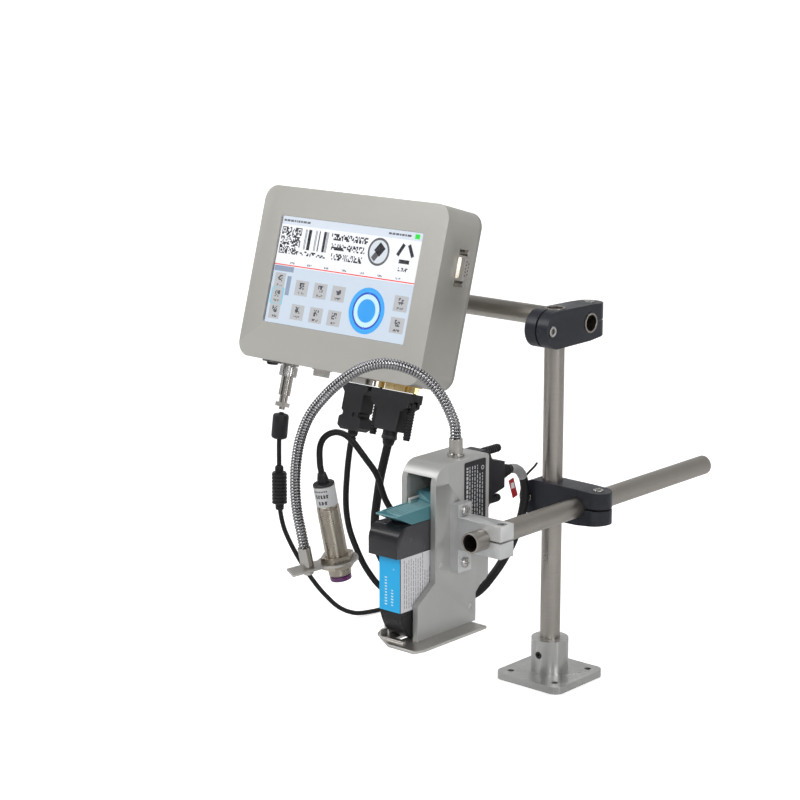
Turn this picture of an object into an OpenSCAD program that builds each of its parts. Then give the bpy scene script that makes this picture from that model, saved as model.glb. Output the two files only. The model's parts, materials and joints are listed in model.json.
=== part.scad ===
/* [Stand] */
// Outside diameter of every stand tube
tube_d = 16; // [14:0.5:18]
// Wall of the stand tubes
tube_wall = 1.5; // [1:0.1:2]
// Height of the product line above the foot's bottom face
line_z = 70; // [60:1:110]
// Top of the post above the product line
post_top = 233.5; // [228:1:250]
// Side of the square foot plate
foot_side = 64; // [60:1:80]
// Thickness of the foot plate
foot_t = 6; // [5:0.5:8]
// Distance between neighbouring foot bolts
foot_pitch = 44; // [42:1:50]
// Diameter of the foot's bolt holes
foot_hole_d = 5.5; // [4.5:0.1:6.5]

/* [Cross clamps] */
// Distance between the two bores of a cross clamp
clamp_pitch = 32; // [30:1:36]
// Width of a cross clamp
clamp_w = 22; // [21.5:0.5:26]
// Height of a cross clamp
clamp_h = 30; // [28:1:32]
// Gap of each clamping slit
slit = 1.5; // [1:0.1:2]

/* [Heights and reaches] */
// Height of the screen rod above the product line
screen_rod_h = 218; // [214:1:218]
// Height of the head rod above the product line
head_rod_h = 80; // [78:1:84]
// Left end of the screen rod, measured from the post
screen_rod_reach = 215; // [205:1:225]
// Front end of the head rod, measured from the post
head_rod_front = 142; // [140:1:150]
// Rear end of the head rod, measured from the post
head_rod_rear = 167; // [120:1:180]

/* [Controller] */
// Width of the controller box
box_w = 202; // [198:1:220]
// Height of the controller box
box_h = 146; // [142:1:170]
// Depth of the controller box
box_d = 43; // [40:1:50]
// Radius of the box corners
box_r = 13; // [8:1:16]
// Wall of the box
box_wall = 2.5; // [1.5:0.1:3]
// Width of the touch screen window
screen_w = 156; // [150:1:160]
// Height of the touch screen window
screen_h = 90; // [84:1:94]
// Backward tilt of the controller in degrees
tilt = 16; // [10:1:20]
// Distance from the box face to the screen rod's axis
rod_behind_face = 84; // [82:1:96]
// Centre of the box, measured left from the post
box_x = 182.3; // [180:0.1:190]

/* [Print head] */
// Width over the two side plates of the head
head_w = 33.5; // [32:0.5:38]
// Thickness of the head's side plates
plate_t = 5; // [4:0.5:5]
// Height of the head above the product line
head_h = 133; // [131:1:138]
// Distance from the side plate to the head rod's axis
bracket_reach = 30.5; // [29:0.5:34]
// Width of the cartridge body
cartridge_w = 21; // [19:0.5:21]
// Thickness of the skid plate
skid_t = 2.5; // [2:0.1:3]

/* [Sensor arm] */
// Diameter of the gooseneck
goose_d = 8.5; // [7.5:0.1:9]
// Diameter of the sensor barrel
sensor_d = 18; // [17:0.1:18.5]
// Lean of the sensor in degrees
sensor_lean = 10; // [8:1:14]
// Distance between the two holes of the sensor plate
sensor_pitch = 25; // [24:0.5:28]

/* [Cords] */
// Diameter of the power cord
power_cord_d = 4; // [3.5:0.1:4.2]
// Diameter of the head cable
head_cable_d = 7; // [6:0.1:7.2]
// Diameter of the sensor cable
sensor_cable_d = 5; // [4:0.1:5.2]

/* [Hidden] */
$fn = 64;

fit = 0.05;                        // radial running clearance
tube_r = tube_d / 2;
bore_r = tube_r + fit;
screen_rod_z = line_z + screen_rod_h;
head_rod_z = line_z + head_rod_h;
m5_r = 2.5;
m3_r = 1.5;
cap_head_r = 4.2;                  // head of an M5 cap screw
cap_head_h = 5;

// Cross clamp: post bore along Z at the origin, rod bore along X at clamp_pitch
clamp_near = -24.5;                // end beside the post
clamp_bolt_y = clamp_pitch + 13;   // bolt beside the rod
post_screw_y = -17;                // screw beside the post

// Controller, in its own frame: origin at the face's centre, +Y into the box
cover_t = 2.5;
screen_x = -0.2;
screen_z = 3.2;
rod_up = 2;                        // screen rod's axis above the box's centre
port_y = 18;                       // depth of the ports on the bottom wall
bottom_z = -box_h / 2;
rocker_x = -75.2;
power_x = -55.2;
usb_x = -18.2;
sensor_x = 27.3;
data_x = 66.3;
data_screw_pitch = 36;
serial_y = 26;
serial_z = 26.5;

// Print head
head_x1 = clamp_pitch - bracket_reach;        // outer face of the plate beside the bracket
head_x0 = head_x1 - head_w;                   // outer face of the other plate
head_mid = (head_x0 + head_x1) / 2;
gap_x0 = head_x0 + plate_t;                   // space between the plates
gap_x1 = head_x1 - plate_t;
head_z0 = line_z + skid_t;
head_z1 = line_z + head_h;
hood_front = -145;
hood_rear = -82;
hood_r = 15;
top_t = 4;
lower_front = -165;
lower_rear = -97;
bracket_y0 = -128;
bracket_d = 15.5;
bracket_t = 8;
bracket_end = 50;                             // free end of the clamp arm
arm_h = 25;                                   // height of the clamp arm
bracket_screw_z = [head_rod_z - 24, head_rod_z + 16.7];
cartridge_x1 = gap_x1 - 1;
cartridge_x0 = cartridge_x1 - cartridge_w;
cartridge_front = -178;
cartridge_rear = -128;
label_z0 = line_z + 26;
label_z1 = line_z + 69;
cap_top = line_z + 92;
latch_y = -120;                               // latch pivot
latch_z = cap_top + 10;
latch_x0 = gap_x0 + 1.5;
latch_x1 = gap_x1 - 1;
latch_pin_r = 2.5;
plug_z = line_z + 108;                        // head plug's axis
plug_screw_pitch = 40;

// Sensor arm: the gooseneck rises from the hood's top
arm_x = -10;
arm_y = -108;
arm_dir = [-0.942, -0.336];
ferrule_r = 5.2;
ferrule_end = [-126.5, -149, line_z + 30.5];    // where the gooseneck meets the sensor plate
plate_turn = 60;
plate_th = 2;
sensor_r = sensor_d / 2;

// Shapes that repeat
module rounded(w, h, r) {
    square([w - 2 * r, h], center = true);
    square([w, h - 2 * r], center = true);
    for (x = [-1, 1], y = [-1, 1])
        translate([x * (w / 2 - r), y * (h / 2 - r)]) circle(r = r);
}

module tube(length, r, wall) {
    difference() {
        cylinder(r = r, h = length);
        translate([0, 0, -1]) cylinder(r = r - wall, h = length + 2);
    }
}

// Upright slab whose outline is in XZ and whose thickness runs along +Y
module slab(depth) {
    translate([0, depth, 0]) rotate([90, 0, 0]) linear_extrude(depth) children();
}

// Slab whose outline is in YZ and whose thickness runs along +X
module side_slab(width) {
    rotate([90, 0, 90]) linear_extrude(width) children();
}

// Socket cap screw along -Z, the underside of its head at the origin
module cap_screw(length) {
    difference() {
        cylinder(r = cap_head_r, h = cap_head_h);
        translate([0, 0, cap_head_h - 3]) cylinder(r = 2.4, h = 4, $fn = 6);
    }
    translate([0, 0, -length]) cylinder(r = m5_r, h = length);
}

// Pan head screw along -Z, the underside of its head at the origin
module pan_screw(r, length) {
    difference() {
        intersection() {
            cylinder(r = 2 * r, h = 1.4 * r);
            translate([0, 0, -2.2 * r]) sphere(r = 3.5 * r);
        }
        for (turn = [0, 90])
            rotate([0, 0, turn]) translate([-1.3 * r, -0.22 * r, 0.8 * r]) cube([2.6 * r, 0.44 * r, r]);
    }
    translate([0, 0, -length]) cylinder(r = r, h = length);
}

module post_bore_screw_place() {
    translate([clamp_w / 2, post_screw_y, 0]) rotate([0, 90, 0]) children();
}

module rod_bore_screw_place() {
    translate([0, clamp_bolt_y, clamp_h / 2 - 1]) children();
}

module clamp_block() {
    recess = cap_head_h - 0.5;
    difference() {
        intersection() {
            linear_extrude(clamp_h, center = true) union() {
                translate([-clamp_w / 2, clamp_near]) square([clamp_w, clamp_bolt_y - clamp_near]);
                translate([0, clamp_bolt_y]) circle(d = clamp_w);
            }
            translate([-clamp_w / 2, 0, 0]) side_slab(clamp_w) union() {
                translate([clamp_near + clamp_h / 2, 0]) circle(d = clamp_h);
                polygon([
                    [clamp_near + clamp_h / 2, -clamp_h / 2], [clamp_pitch, -clamp_h / 2 + 0.5],
                    [clamp_bolt_y + clamp_w, -clamp_h / 2 + 4], [clamp_bolt_y + clamp_w, clamp_h / 2 - 2],
                    [clamp_pitch, clamp_h / 2 - 0.5], [clamp_near + clamp_h / 2, clamp_h / 2]
                ]);
            }
        }
        cylinder(r = bore_r, h = 2 * clamp_h, center = true);
        translate([0, clamp_pitch, 0]) rotate([0, 90, 0]) cylinder(r = bore_r, h = 2 * clamp_w, center = true);
        translate([-slit / 2, clamp_near - 1, -clamp_h]) cube([slit, 1 - clamp_near - tube_r + 1, 2 * clamp_h]);
        translate([-clamp_w, clamp_pitch + tube_r - 1, -slit / 2]) cube([2 * clamp_w, 2 * clamp_w, slit]);
        post_bore_screw_place() {
            cylinder(r = m5_r + 0.2, h = 3 * clamp_w, center = true);
            translate([0, 0, -recess]) cylinder(r = cap_head_r + 0.4, h = recess + 1);
            translate([0, 0, -clamp_w - 1]) cylinder(r = 4.8, h = 4, $fn = 6);
        }
        rod_bore_screw_place() {
            cylinder(r = m5_r + 0.2, h = 3 * clamp_h, center = true);
            translate([0, 0, -recess]) cylinder(r = cap_head_r + 0.4, h = recess + 9);
            translate([0, 0, -clamp_h + 1]) cylinder(r = 4.8, h = 5, $fn = 6);
        }
    }
}

module clamp_fastener(grip, nut_depth) {
    recess = cap_head_h - 0.5;
    translate([0, 0, -recess]) cap_screw(grip - recess - 1);
    translate([0, 0, -grip + nut_depth - 3.4]) difference() {
        cylinder(r = 4.6, h = 3.4, $fn = 6);
        translate([0, 0, -1]) cylinder(r = m5_r + 0.02, h = 6);
    }
}

module clamp_screws() {
    post_bore_screw_place() clamp_fastener(clamp_w, 3);
    rod_bore_screw_place() clamp_fastener(clamp_h - 2.5, 3.4);
}

module at_upper_clamp() {
    translate([0, 0, screen_rod_z]) children();
}

module at_lower_clamp() {
    translate([0, 0, head_rod_z]) rotate([0, 0, -90]) children();
}

module at_controller() {
    translate([-box_x, clamp_pitch, screen_rod_z]) rotate([-tilt, 0, 0])
        translate([0, -rod_behind_face, -rod_up]) children();
}

// Stand
module post_foot() {
    color("silver") difference() {
        union() {
            linear_extrude(foot_t) rounded(foot_side, foot_side, 8);
            cylinder(r = tube_r + 7, h = foot_t + 28);
        }
        translate([0, 0, foot_t]) cylinder(r = bore_r, h = 40);
        for (x = [-1, 1], y = [-1, 1])
            translate([x * foot_pitch / 2, y * foot_pitch / 2, -1]) cylinder(d = foot_hole_d, h = foot_t + 2);
        translate([0, 0, foot_t + 16]) rotate([90, 0, 0]) cylinder(r = 3 + fit, h = 40);
    }
}

module foot_grub_screw() {
    color("dimgray") translate([0, -tube_r - 0.1, foot_t + 16]) rotate([90, 0, 0]) difference() {
        cylinder(r = 3, h = 7);
        translate([0, 0, 4]) cylinder(r = 1.7, h = 4, $fn = 6);
    }
}

module post() {
    color("silver") translate([0, 0, foot_t]) tube(line_z + post_top - foot_t, tube_r, tube_wall);
}

module upper_clamp_block() {
    color("#23262b") at_upper_clamp() clamp_block();
}

module upper_clamp_screws() {
    color("silver") at_upper_clamp() clamp_screws();
}

module lower_clamp_block() {
    color("#23262b") at_lower_clamp() clamp_block();
}

module lower_clamp_screws() {
    color("silver") at_lower_clamp() clamp_screws();
}

module screen_rod() {
    rod_end = clamp_w / 2 + 1;
    color("silver") translate([-screen_rod_reach, clamp_pitch, screen_rod_z]) rotate([0, 90, 0])
        tube(screen_rod_reach + rod_end, tube_r, tube_wall);
}

module head_rod() {
    color("silver") translate([clamp_pitch, -head_rod_front, head_rod_z]) rotate([-90, 0, 0])
        tube(head_rod_front + head_rod_rear, tube_r, tube_wall);
}

// Controller
bracket_plate_t = 4;
bracket_block_w = 30;
bracket_hole_x = 20;
bracket_hole_z = 24;

module rod_bracket() {
    eye_r = tube_r + 6;
    reach = rod_behind_face - box_d;
    color("silver") at_controller() translate([0, box_d, rod_up]) difference() {
        union() {
            slab(bracket_plate_t) rounded(54, 62, 6);
            translate([-bracket_block_w / 2, 0, 0]) side_slab(bracket_block_w) union() {
                translate([0, -eye_r + 2]) square([reach, 2 * eye_r - 4]);
                translate([reach, 0]) circle(r = eye_r);
                translate([reach, -eye_r + 4]) square([eye_r + 10, 2 * eye_r - 8]);
            }
        }
        translate([-bracket_block_w, reach, 0]) rotate([0, 90, 0]) cylinder(r = bore_r, h = 2 * bracket_block_w);
        translate([-bracket_block_w, reach + tube_r - 1, -slit / 2]) cube([2 * bracket_block_w, 40, slit]);
        translate([0, reach + tube_r + 10, 0]) cylinder(r = m5_r + 0.2, h = 60, center = true);
        for (x = [-1, 1], z = [-1, 1])
            translate([x * bracket_hole_x, -1, z * bracket_hole_z]) rotate([-90, 0, 0])
                cylinder(r = 2 + 0.2, h = bracket_plate_t + 2);
    }
}

module rod_bracket_screws() {
    eye_r = tube_r + 6;
    reach = rod_behind_face - box_d;
    color("gainsboro") at_controller() translate([0, box_d, rod_up]) {
        for (x = [-1, 1], z = [-1, 1])
            translate([x * bracket_hole_x, bracket_plate_t, z * bracket_hole_z]) rotate([-90, 0, 0])
                pan_screw(2, bracket_plate_t);
        translate([0, reach + tube_r + 10, eye_r - 4]) cap_screw(2 * eye_r - 10);
    }
}

module screen_window(grow) {
    translate([screen_x, screen_z]) rounded(screen_w + 2 * grow, screen_h + 2 * grow, 2);
}

boss_places = [
    for (x = [-1, 1], z = [-1, 1]) [x * (box_w / 2 - 7.5), z * (box_h / 2 - 7.5)],
    for (z = [-1, 1]) [0, z * (box_h / 2 - 6)]
];

module case_bosses() {
    for (place = boss_places)
        translate([place[0], box_d - cover_t, place[1]]) rotate([90, 0, 0]) children();
}

module controller_case() {
    color("#a9aaa4") at_controller() difference() {
        union() {
            difference() {
                slab(box_d - cover_t) rounded(box_w, box_h, box_r);
                translate([0, box_wall, 0]) slab(box_d)
                    rounded(box_w - 2 * box_wall, box_h - 2 * box_wall, box_r - box_wall);
            }
            case_bosses() cylinder(r = 4, h = 14);
        }
        translate([0, -1, 0]) slab(box_wall + 2) screen_window(0.2);
        case_bosses() translate([0, 0, -1]) cylinder(r = m3_r + fit, h = 12);
        translate([box_w / 2 - box_wall - 1, serial_y - 5.5, serial_z - 10]) cube([box_wall + 2, 11, 20]);
        translate([0, port_y, bottom_z - 1]) {
            translate([rocker_x - 6, -4.5, 0]) cube([12, 9, box_wall + 2]);
            translate([power_x, 0, 0]) cylinder(r = 5.6, h = box_wall + 2);
            translate([usb_x - 6.8, -3.3, 0]) cube([13.6, 6.6, box_wall + 2]);
            translate([sensor_x - 9.3, -4.8, 0]) cube([18.6, 9.6, box_wall + 2]);
            translate([data_x - 13.3, -4.8, 0]) cube([26.6, 9.6, box_wall + 2]);
        }
    }
}

module rear_cover() {
    color("#9c9d98") at_controller() difference() {
        translate([0, box_d - cover_t, 0]) slab(cover_t) rounded(box_w, box_h, box_r);
        case_bosses() translate([0, 0, -cover_t - 1]) cylinder(r = m3_r + 0.2, h = cover_t + 2);
        translate([0, box_d - 12, rod_up]) for (x = [-1, 1], z = [-1, 1])
            translate([x * bracket_hole_x, 0, z * bracket_hole_z]) rotate([-90, 0, 0]) cylinder(r = 2.2, h = 20);
        for (x = [-4:4])
            translate([x * 7 - 2, box_d - cover_t - 1, -54]) cube([4, cover_t + 2, 14]);
    }
}

module rear_cover_screws() {
    color("gainsboro") at_controller() for (place = boss_places)
        translate([place[0], box_d, place[1]]) rotate([-90, 0, 0]) pan_screw(m3_r, cover_t + 8);
}

module touch_glass() {
    color("#e8eef5") at_controller() translate([0, 0.3, 0]) slab(2) screen_window(0);
}

module display_panel() {
    color("#30343a") at_controller() translate([screen_x, box_wall + 0.2, screen_z]) slab(6)
        rounded(screen_w + 10, screen_h + 12, 2);
}

board_y = 22;

module controller_board() {
    color("#1f6b3a") at_controller() translate([0, board_y, 4]) {
        slab(1.6) rounded(150, 104, 3);
        for (chip = [[-40, 16, 22], [10, 20, 16], [44, -16, 14], [-52, -26, 12]])
            translate([chip[0], -2, chip[1]]) slab(2) square(chip[2], center = true);
    }
}

module board_standoffs() {
    color("goldenrod") at_controller() for (x = [-68, 68], z = [-42, 50])
        translate([x, board_y + 1.6, z]) rotate([-90, 0, 0])
            cylinder(r = 3, h = box_d - cover_t - board_y - 1.6);
}

// D-shaped connector outline: wide side up
module d_outline(w, h) {
    polygon([[-w / 2, h / 2], [w / 2, h / 2], [w / 2 - 1.6, -h / 2], [-w / 2 + 1.6, -h / 2]]);
}

module side_serial_port() {
    color("gainsboro") at_controller() translate([box_w / 2, serial_y, serial_z]) rotate([90, 0, 90]) {
        difference() {
            union() {
                linear_extrude(0.8) rounded(12.5, 31, 2);
                linear_extrude(6) rotate([0, 0, 90]) d_outline(16.9, 8.4);
                translate([0, 0, -8]) linear_extrude(8) square([10, 18], center = true);
            }
            for (row = [0, 1], pin = [0:4 - row])
                translate([row * 2.8 - 1.4, (pin - 2 + row / 2) * 2.8, 2]) cylinder(r = 0.6, h = 6);
        }
        for (side = [-1, 1])
            translate([0, side * 12.5, 0.8]) cylinder(r = 2.7, h = 5, $fn = 6);
    }
}

module at_bottom(x) {
    at_controller() translate([x, port_y, bottom_z]) children();
}

rocker_turn = 7;

module power_switch_bezel() {
    color("#8d8e8c") at_bottom(rocker_x) difference() {
        union() {
            translate([0, 0, -1.6]) linear_extrude(1.6) rounded(15, 11.5, 1.5);
            translate([-5.9, -4.4, 0]) cube([11.8, 8.8, 9]);
        }
        translate([-5, -3.6, -5]) cube([10, 7.2, 12]);
        rotate([90, 0, 0]) cylinder(r = 1 + fit, h = 20, center = true);
    }
}

module power_switch_rocker() {
    color("#1b1c1f") at_bottom(rocker_x) rotate([0, -rocker_turn, 0]) {
        intersection() {
            translate([0, 3.3, 0]) rotate([90, 0, 0]) cylinder(r = 4.4, h = 6.6);
            translate([-4.2, -4, -3.6]) cube([8.4, 8, 7]);
        }
        rotate([90, 0, 0]) cylinder(r = 1, h = 8.4, center = true);
    }
}

module power_socket() {
    color("gainsboro") at_bottom(power_x) {
        translate([0, 0, -1.8]) cylinder(r = 7.8, h = 1.8);
        translate([0, 0, -5]) tube(14, 5.5, 1);
    }
}

module power_plug_nut() {
    color("gainsboro") at_bottom(power_x) translate([0, 0, -11]) difference() {
        union() {
            cylinder(r = 7, h = 8.8);
            for (turn = [0:10:350])
                rotate([0, 0, turn]) translate([6.9, -0.35, 0.6]) cube([0.6, 0.7, 7.4]);
        }
        translate([0, 0, 2]) cylinder(r = 5.6, h = 8);
        translate([0, 0, -1]) cylinder(r = 5 + fit, h = 4);
    }
}

module power_plug_body() {
    color("silver") at_bottom(power_x) {
        translate([0, 0, -9]) cylinder(r = 5.3, h = 3.8);
        translate([0, 0, -27]) cylinder(r = 5, h = 18);
        translate([0, 0, -33]) cylinder(r = 3.6, h = 6);
        translate([-6, -2.5, -36.5]) cube([12, 5, 3.5]);
        translate([0, 0, -39]) cylinder(r = 2.6, h = 2.5);
    }
}

module usb_port() {
    color("gainsboro") at_bottom(usb_x) difference() {
        union() {
            translate([-6.6, -3.1, -6]) cube([13.2, 6.2, 18]);
            translate([-7.6, -4.1, -0.8]) cube([15.2, 8.2, 0.8]);
        }
        translate([-6.1, -2.6, -7]) cube([12.2, 5.2, 14]);
    }
}

module d_socket(shell_w, screw_pitch) {
    translate([0, 0, -0.8]) linear_extrude(0.8) rounded(screw_pitch + 6.5, 12.5, 2);
    translate([0, 0, -5.5]) linear_extrude(5.5) d_outline(shell_w, 8.4);
    linear_extrude(9) square([shell_w, 9], center = true);
}

module sensor_socket() {
    color("gainsboro") at_bottom(sensor_x) {
        d_socket(17.4, 18.5);
        for (side = [-1, 1])
            translate([side * 12, 0, -5.4]) cylinder(r = 2.6, h = 4.6, $fn = 6);
    }
}

module data_socket() {
    color("#c9a45a") at_bottom(data_x) {
        d_socket(24.5, 35);
        for (side = [-1, 1])
            translate([side * data_screw_pitch / 2, 0, -5.4]) difference() {
                cylinder(r = 2.8, h = 4.6, $fn = 6);
                translate([0, 0, -1]) cylinder(r = 1.6, h = 4);
            }
    }
}

sensor_plug_end = -47;

module sensor_plug() {
    color("#1b1c1f") at_bottom(sensor_x) difference() {
        union() {
            translate([0, 7.5, 0]) rotate([90, 0, 0]) linear_extrude(15) polygon([
                [-14, -6], [14, -6], [14, -10], [10.5, -14], [10.5, -28], [8.5, -29.5], [8.5, -32],
                [12, -34], [12, -41], [8, -44], [-8, -44], [-12, -41], [-12, -34], [-8.5, -32],
                [-8.5, -29.5], [-10.5, -28], [-10.5, -14], [-14, -10]
            ]);
            translate([0, 0, sensor_plug_end]) cylinder(r = 4.2, h = 4);
        }
        translate([4, -8, -31]) rotate([-90, 0, 0]) cylinder(r = 2, h = 1.6);
    }
}

data_plug_end = -43;

module data_plug() {
    color("#1b1c1f") at_bottom(data_x) difference() {
        union() {
            translate([0, 7.5, 0]) rotate([90, 0, 0]) linear_extrude(15) polygon([
                [-21, -6], [21, -6], [21, -13], [19.5, -14], [19.5, -17], [12.5, -21], [11.5, -38],
                [-11.5, -38], [-12.5, -21], [-19.5, -17], [-19.5, -14], [-21, -13]
            ]);
            translate([0, 0, data_plug_end]) cylinder(r = 6, h = 6);
        }
        for (side = [-1, 1]) {
            translate([side * data_screw_pitch / 2, 0, -16]) cylinder(r = 1.9, h = 12);
            translate([side * data_screw_pitch / 2, 0, -24]) cylinder(r = 3.9, h = 12);
        }
    }
}

// Ribbed thumb screw along +Z, its tip at the origin
module thumb_screw(length) {
    translate([0, 0, -10]) cylinder(r = 1.3, h = 10);
    translate([0, 0, -length]) cylinder(r = 2.7, h = length - 10);
    for (ring = [2:2.4:length - 12])
        translate([0, 0, -length + ring]) cylinder(r = 3.1, h = 1.3);
}

module data_plug_screw_left() {
    color("#26272a") at_bottom(data_x - data_screw_pitch / 2) translate([0, 0, -3.5]) thumb_screw(40);
}

module data_plug_screw_right() {
    color("#26272a") at_bottom(data_x + data_screw_pitch / 2) translate([0, 0, -3.5]) thumb_screw(40);
}

// Print head
module hood_outline() {
    polygon([
        [lower_front, head_z0], [lower_front, line_z + 30], [hood_front, line_z + 44],
        [hood_front, head_z1 - hood_r], [hood_front + hood_r, head_z1 - hood_r],
        [hood_front + hood_r, head_z1], [hood_rear - 3, head_z1], [hood_rear - 0.9, head_z1 - 0.9],
        [hood_rear, head_z1 - 3], [hood_rear, line_z + 36], [hood_rear - 3, line_z + 33],
        [lower_rear + 6, line_z + 31], [lower_rear, line_z + 25], [lower_rear, head_z0]
    ]);
    translate([hood_front + hood_r, head_z1 - hood_r]) circle(r = hood_r);
}

guide_screws = [[-138.5, line_z + 56], [-104, line_z + 16]];

module head_housing() {
    inner_r = hood_r - top_t;
    color("#b4b5b4") difference() {
        translate([head_x0, 0, 0]) side_slab(head_w) hood_outline();
        translate([gap_x0, 0, 0]) side_slab(gap_x1 - gap_x0) {
            translate([lower_front - 10, line_z]) square([hood_rear - lower_front + 20, head_h - hood_r]);
            translate([hood_front + hood_r, line_z])
                square([hood_rear - hood_front + 5, head_h - top_t]);
            translate([hood_front + hood_r, head_z1 - hood_r]) circle(r = inner_r);
            translate([hood_front - 5, line_z]) square([hood_r + 5, head_h - hood_r + 6]);
        }
        for (screw = guide_screws)
            translate([gap_x1 - 1, screw[0], screw[1]]) rotate([0, 90, 0]) {
                cylinder(r = m3_r + fit, h = plate_t + 2);
                translate([0, 0, plate_t - 0.5]) cylinder(r = 2.8, h = 3);
            }
        for (z = bracket_screw_z)
            translate([gap_x1 - 1, bracket_y0 + bracket_d / 2, z]) rotate([0, 90, 0])
                cylinder(r = 2 + fit, h = plate_t + 2);
        translate([head_x0 - 1, latch_y, latch_z]) rotate([0, 90, 0]) cylinder(r = latch_pin_r + fit, h = head_w + 2);
        translate([arm_x, arm_y, head_z1 - top_t - 1]) cylinder(r = 3, h = top_t + 2);
    }
}

module head_rear_cover() {
    color("#8f9091") difference() {
        translate([gap_x0 + 0.1, hood_rear - 3, line_z + 34])
            cube([gap_x1 - gap_x0 - 0.2, 3, head_h - top_t - 34.1]);
        translate([head_mid - 5, hood_rear - 4, plug_z - 13.5]) cube([10, 5, 27]);
    }
}

skid_x0 = head_x0 - 8;
skid_x1 = head_x1 + 14.5;

module skid_plate() {
    color("#b9b9b7") difference() {
        union() {
            translate([0, 0, line_z]) linear_extrude(skid_t) polygon([
                [skid_x1, -101], [skid_x1, -174], [skid_x1 - 3, -183], [head_mid + 3, -183],
                [skid_x0 + 4, -168], [skid_x0, -160], [skid_x0, -104], [skid_x0 + 3, -101]
            ]);
            translate([gap_x0, -176, head_z0]) cube([1.2, 8, 6]);
            translate([gap_x0, -176, head_z0]) cube([gap_x1 - gap_x0, 3, 1.6]);
        }
        translate([head_mid - 3, -168, line_z - 1]) cube([6, 26, skid_t + 2]);
    }
}

module head_clamp_bracket() {
    color("#c4c5c6") difference() {
        translate([0, bracket_y0, 0]) slab(bracket_d) {
            translate([head_x1, head_rod_z - 31]) square([bracket_t, 53]);
            translate([head_x1, head_rod_z - arm_h / 2]) square([bracket_end - head_x1, arm_h]);
        }
        translate([clamp_pitch, bracket_y0 - 1, head_rod_z]) rotate([-90, 0, 0])
            cylinder(r = bore_r, h = bracket_d + 2);
        translate([clamp_pitch + tube_r - 1, bracket_y0 - 1, head_rod_z - slit / 2])
            cube([40, bracket_d + 2, slit]);
        translate([bracket_end - 5, bracket_y0 + bracket_d / 2, head_rod_z]) {
            cylinder(r = 2 + 0.2, h = 60, center = true);
            translate([0, 0, arm_h / 2 - 4]) cylinder(r = 3.7, h = 5);
        }
        for (z = bracket_screw_z)
            translate([head_x1 - 1, bracket_y0 + bracket_d / 2, z]) rotate([0, 90, 0])
                cylinder(r = 2 + 0.2, h = bracket_t + 2);
    }
}

module bracket_screws() {
    color("gainsboro") {
        for (z = bracket_screw_z)
            translate([head_x1 + bracket_t, bracket_y0 + bracket_d / 2, z]) rotate([0, 90, 0])
                pan_screw(2, bracket_t + plate_t - 0.2);
        translate([bracket_end - 5, bracket_y0 + bracket_d / 2, head_rod_z + arm_h / 2 - 4]) {
            difference() {
                cylinder(r = 3.5, h = 3.8);
                translate([0, 0, 1.8]) cylinder(r = 1.8, h = 4, $fn = 6);
            }
            translate([0, 0, -21]) cylinder(r = 2, h = 21);
        }
        for (screw = guide_screws)
            translate([head_x1 - plate_t, screw[0], screw[1]]) rotate([0, 90, 0]) {
                cylinder(r = m3_r, h = plate_t - 1.5);
                translate([0, 0, plate_t - 1.5]) cylinder(r = 2.7, h = 1.4);
            }
    }
}

module info_plate() {
    color("#15161a") translate([head_x1, 0, 0]) side_slab(0.5) translate([-99, line_z + 104])
        rounded(25, 52, 1.5);
}

module cartridge_stall() {
    color("#202226") translate([gap_x0 + 0.3, 0, 0]) side_slab(gap_x1 - gap_x0 - 0.6) polygon([
        [cartridge_rear + 1, head_z0 + 2], [cartridge_rear + 1, line_z + 40], [-121, line_z + 46],
        [-121, line_z + 84], [-116, line_z + 84], [-116, head_z0 + 22], [lower_rear - 2, head_z0 + 22],
        [lower_rear - 2, head_z0 + 2]
    ]);
}

module contact_board() {
    color("#b98a2e") translate([head_mid - 9, -121.8, line_z + 50]) cube([18, 0.6, 30]);
}

module driver_board() {
    color("#1f6b3a") {
        translate([gap_x0 + 1, -107, line_z + 40]) cube([gap_x1 - gap_x0 - 2, 1.6, 78]);
        translate([head_mid - 6, -110, line_z + 60]) cube([12, 3, 14]);
        translate([head_mid - 4, -110, line_z + 90]) cube([8, 3, 10]);
    }
}

module head_plug_place() {
    translate([head_mid, hood_rear, plug_z]) rotate([-90, 0, 0]) children();
}

head_plug_len = 37;

module head_plug() {
    color("#1b1c1f") head_plug_place() difference() {
        union() {
            translate([7.5, 0, 0]) rotate([0, -90, 0]) linear_extrude(15) polygon([
                [0.1, -24], [0.1, 24], [8, 24], [9, 22], [12, 22], [16, 14], [31, 10.5],
                [31, -10.5], [16, -14], [12, -22], [9, -22], [8, -24]
            ]);
            translate([0, 0, 30]) cylinder(r = 6, h = head_plug_len - 30);
            translate([0, 0, -3]) linear_extrude(3.2) square([9, 25], center = true);
        }
        for (side = [-1, 1]) {
            translate([0, side * plug_screw_pitch / 2, -1]) cylinder(r = 1.9, h = 30);
            translate([0, side * plug_screw_pitch / 2, 7]) cylinder(r = 3.9, h = 30);
        }
    }
}

module head_plug_screw(side) {
    color("#26272a") head_plug_place() translate([0, side * plug_screw_pitch / 2, 0.3]) mirror([0, 0, 1])
        thumb_screw_short();
}

module thumb_screw_short() {
    translate([0, 0, -8]) cylinder(r = 1.3, h = 8);
    translate([0, 0, -32]) cylinder(r = 2.9, h = 24);
    for (ring = [1.5:2.4:20])
        translate([0, 0, -32 + ring]) cylinder(r = 3.3, h = 1.3);
}

module head_plug_screw_upper() {
    head_plug_screw(-1);
}

module head_plug_screw_lower() {
    head_plug_screw(1);
}

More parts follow.
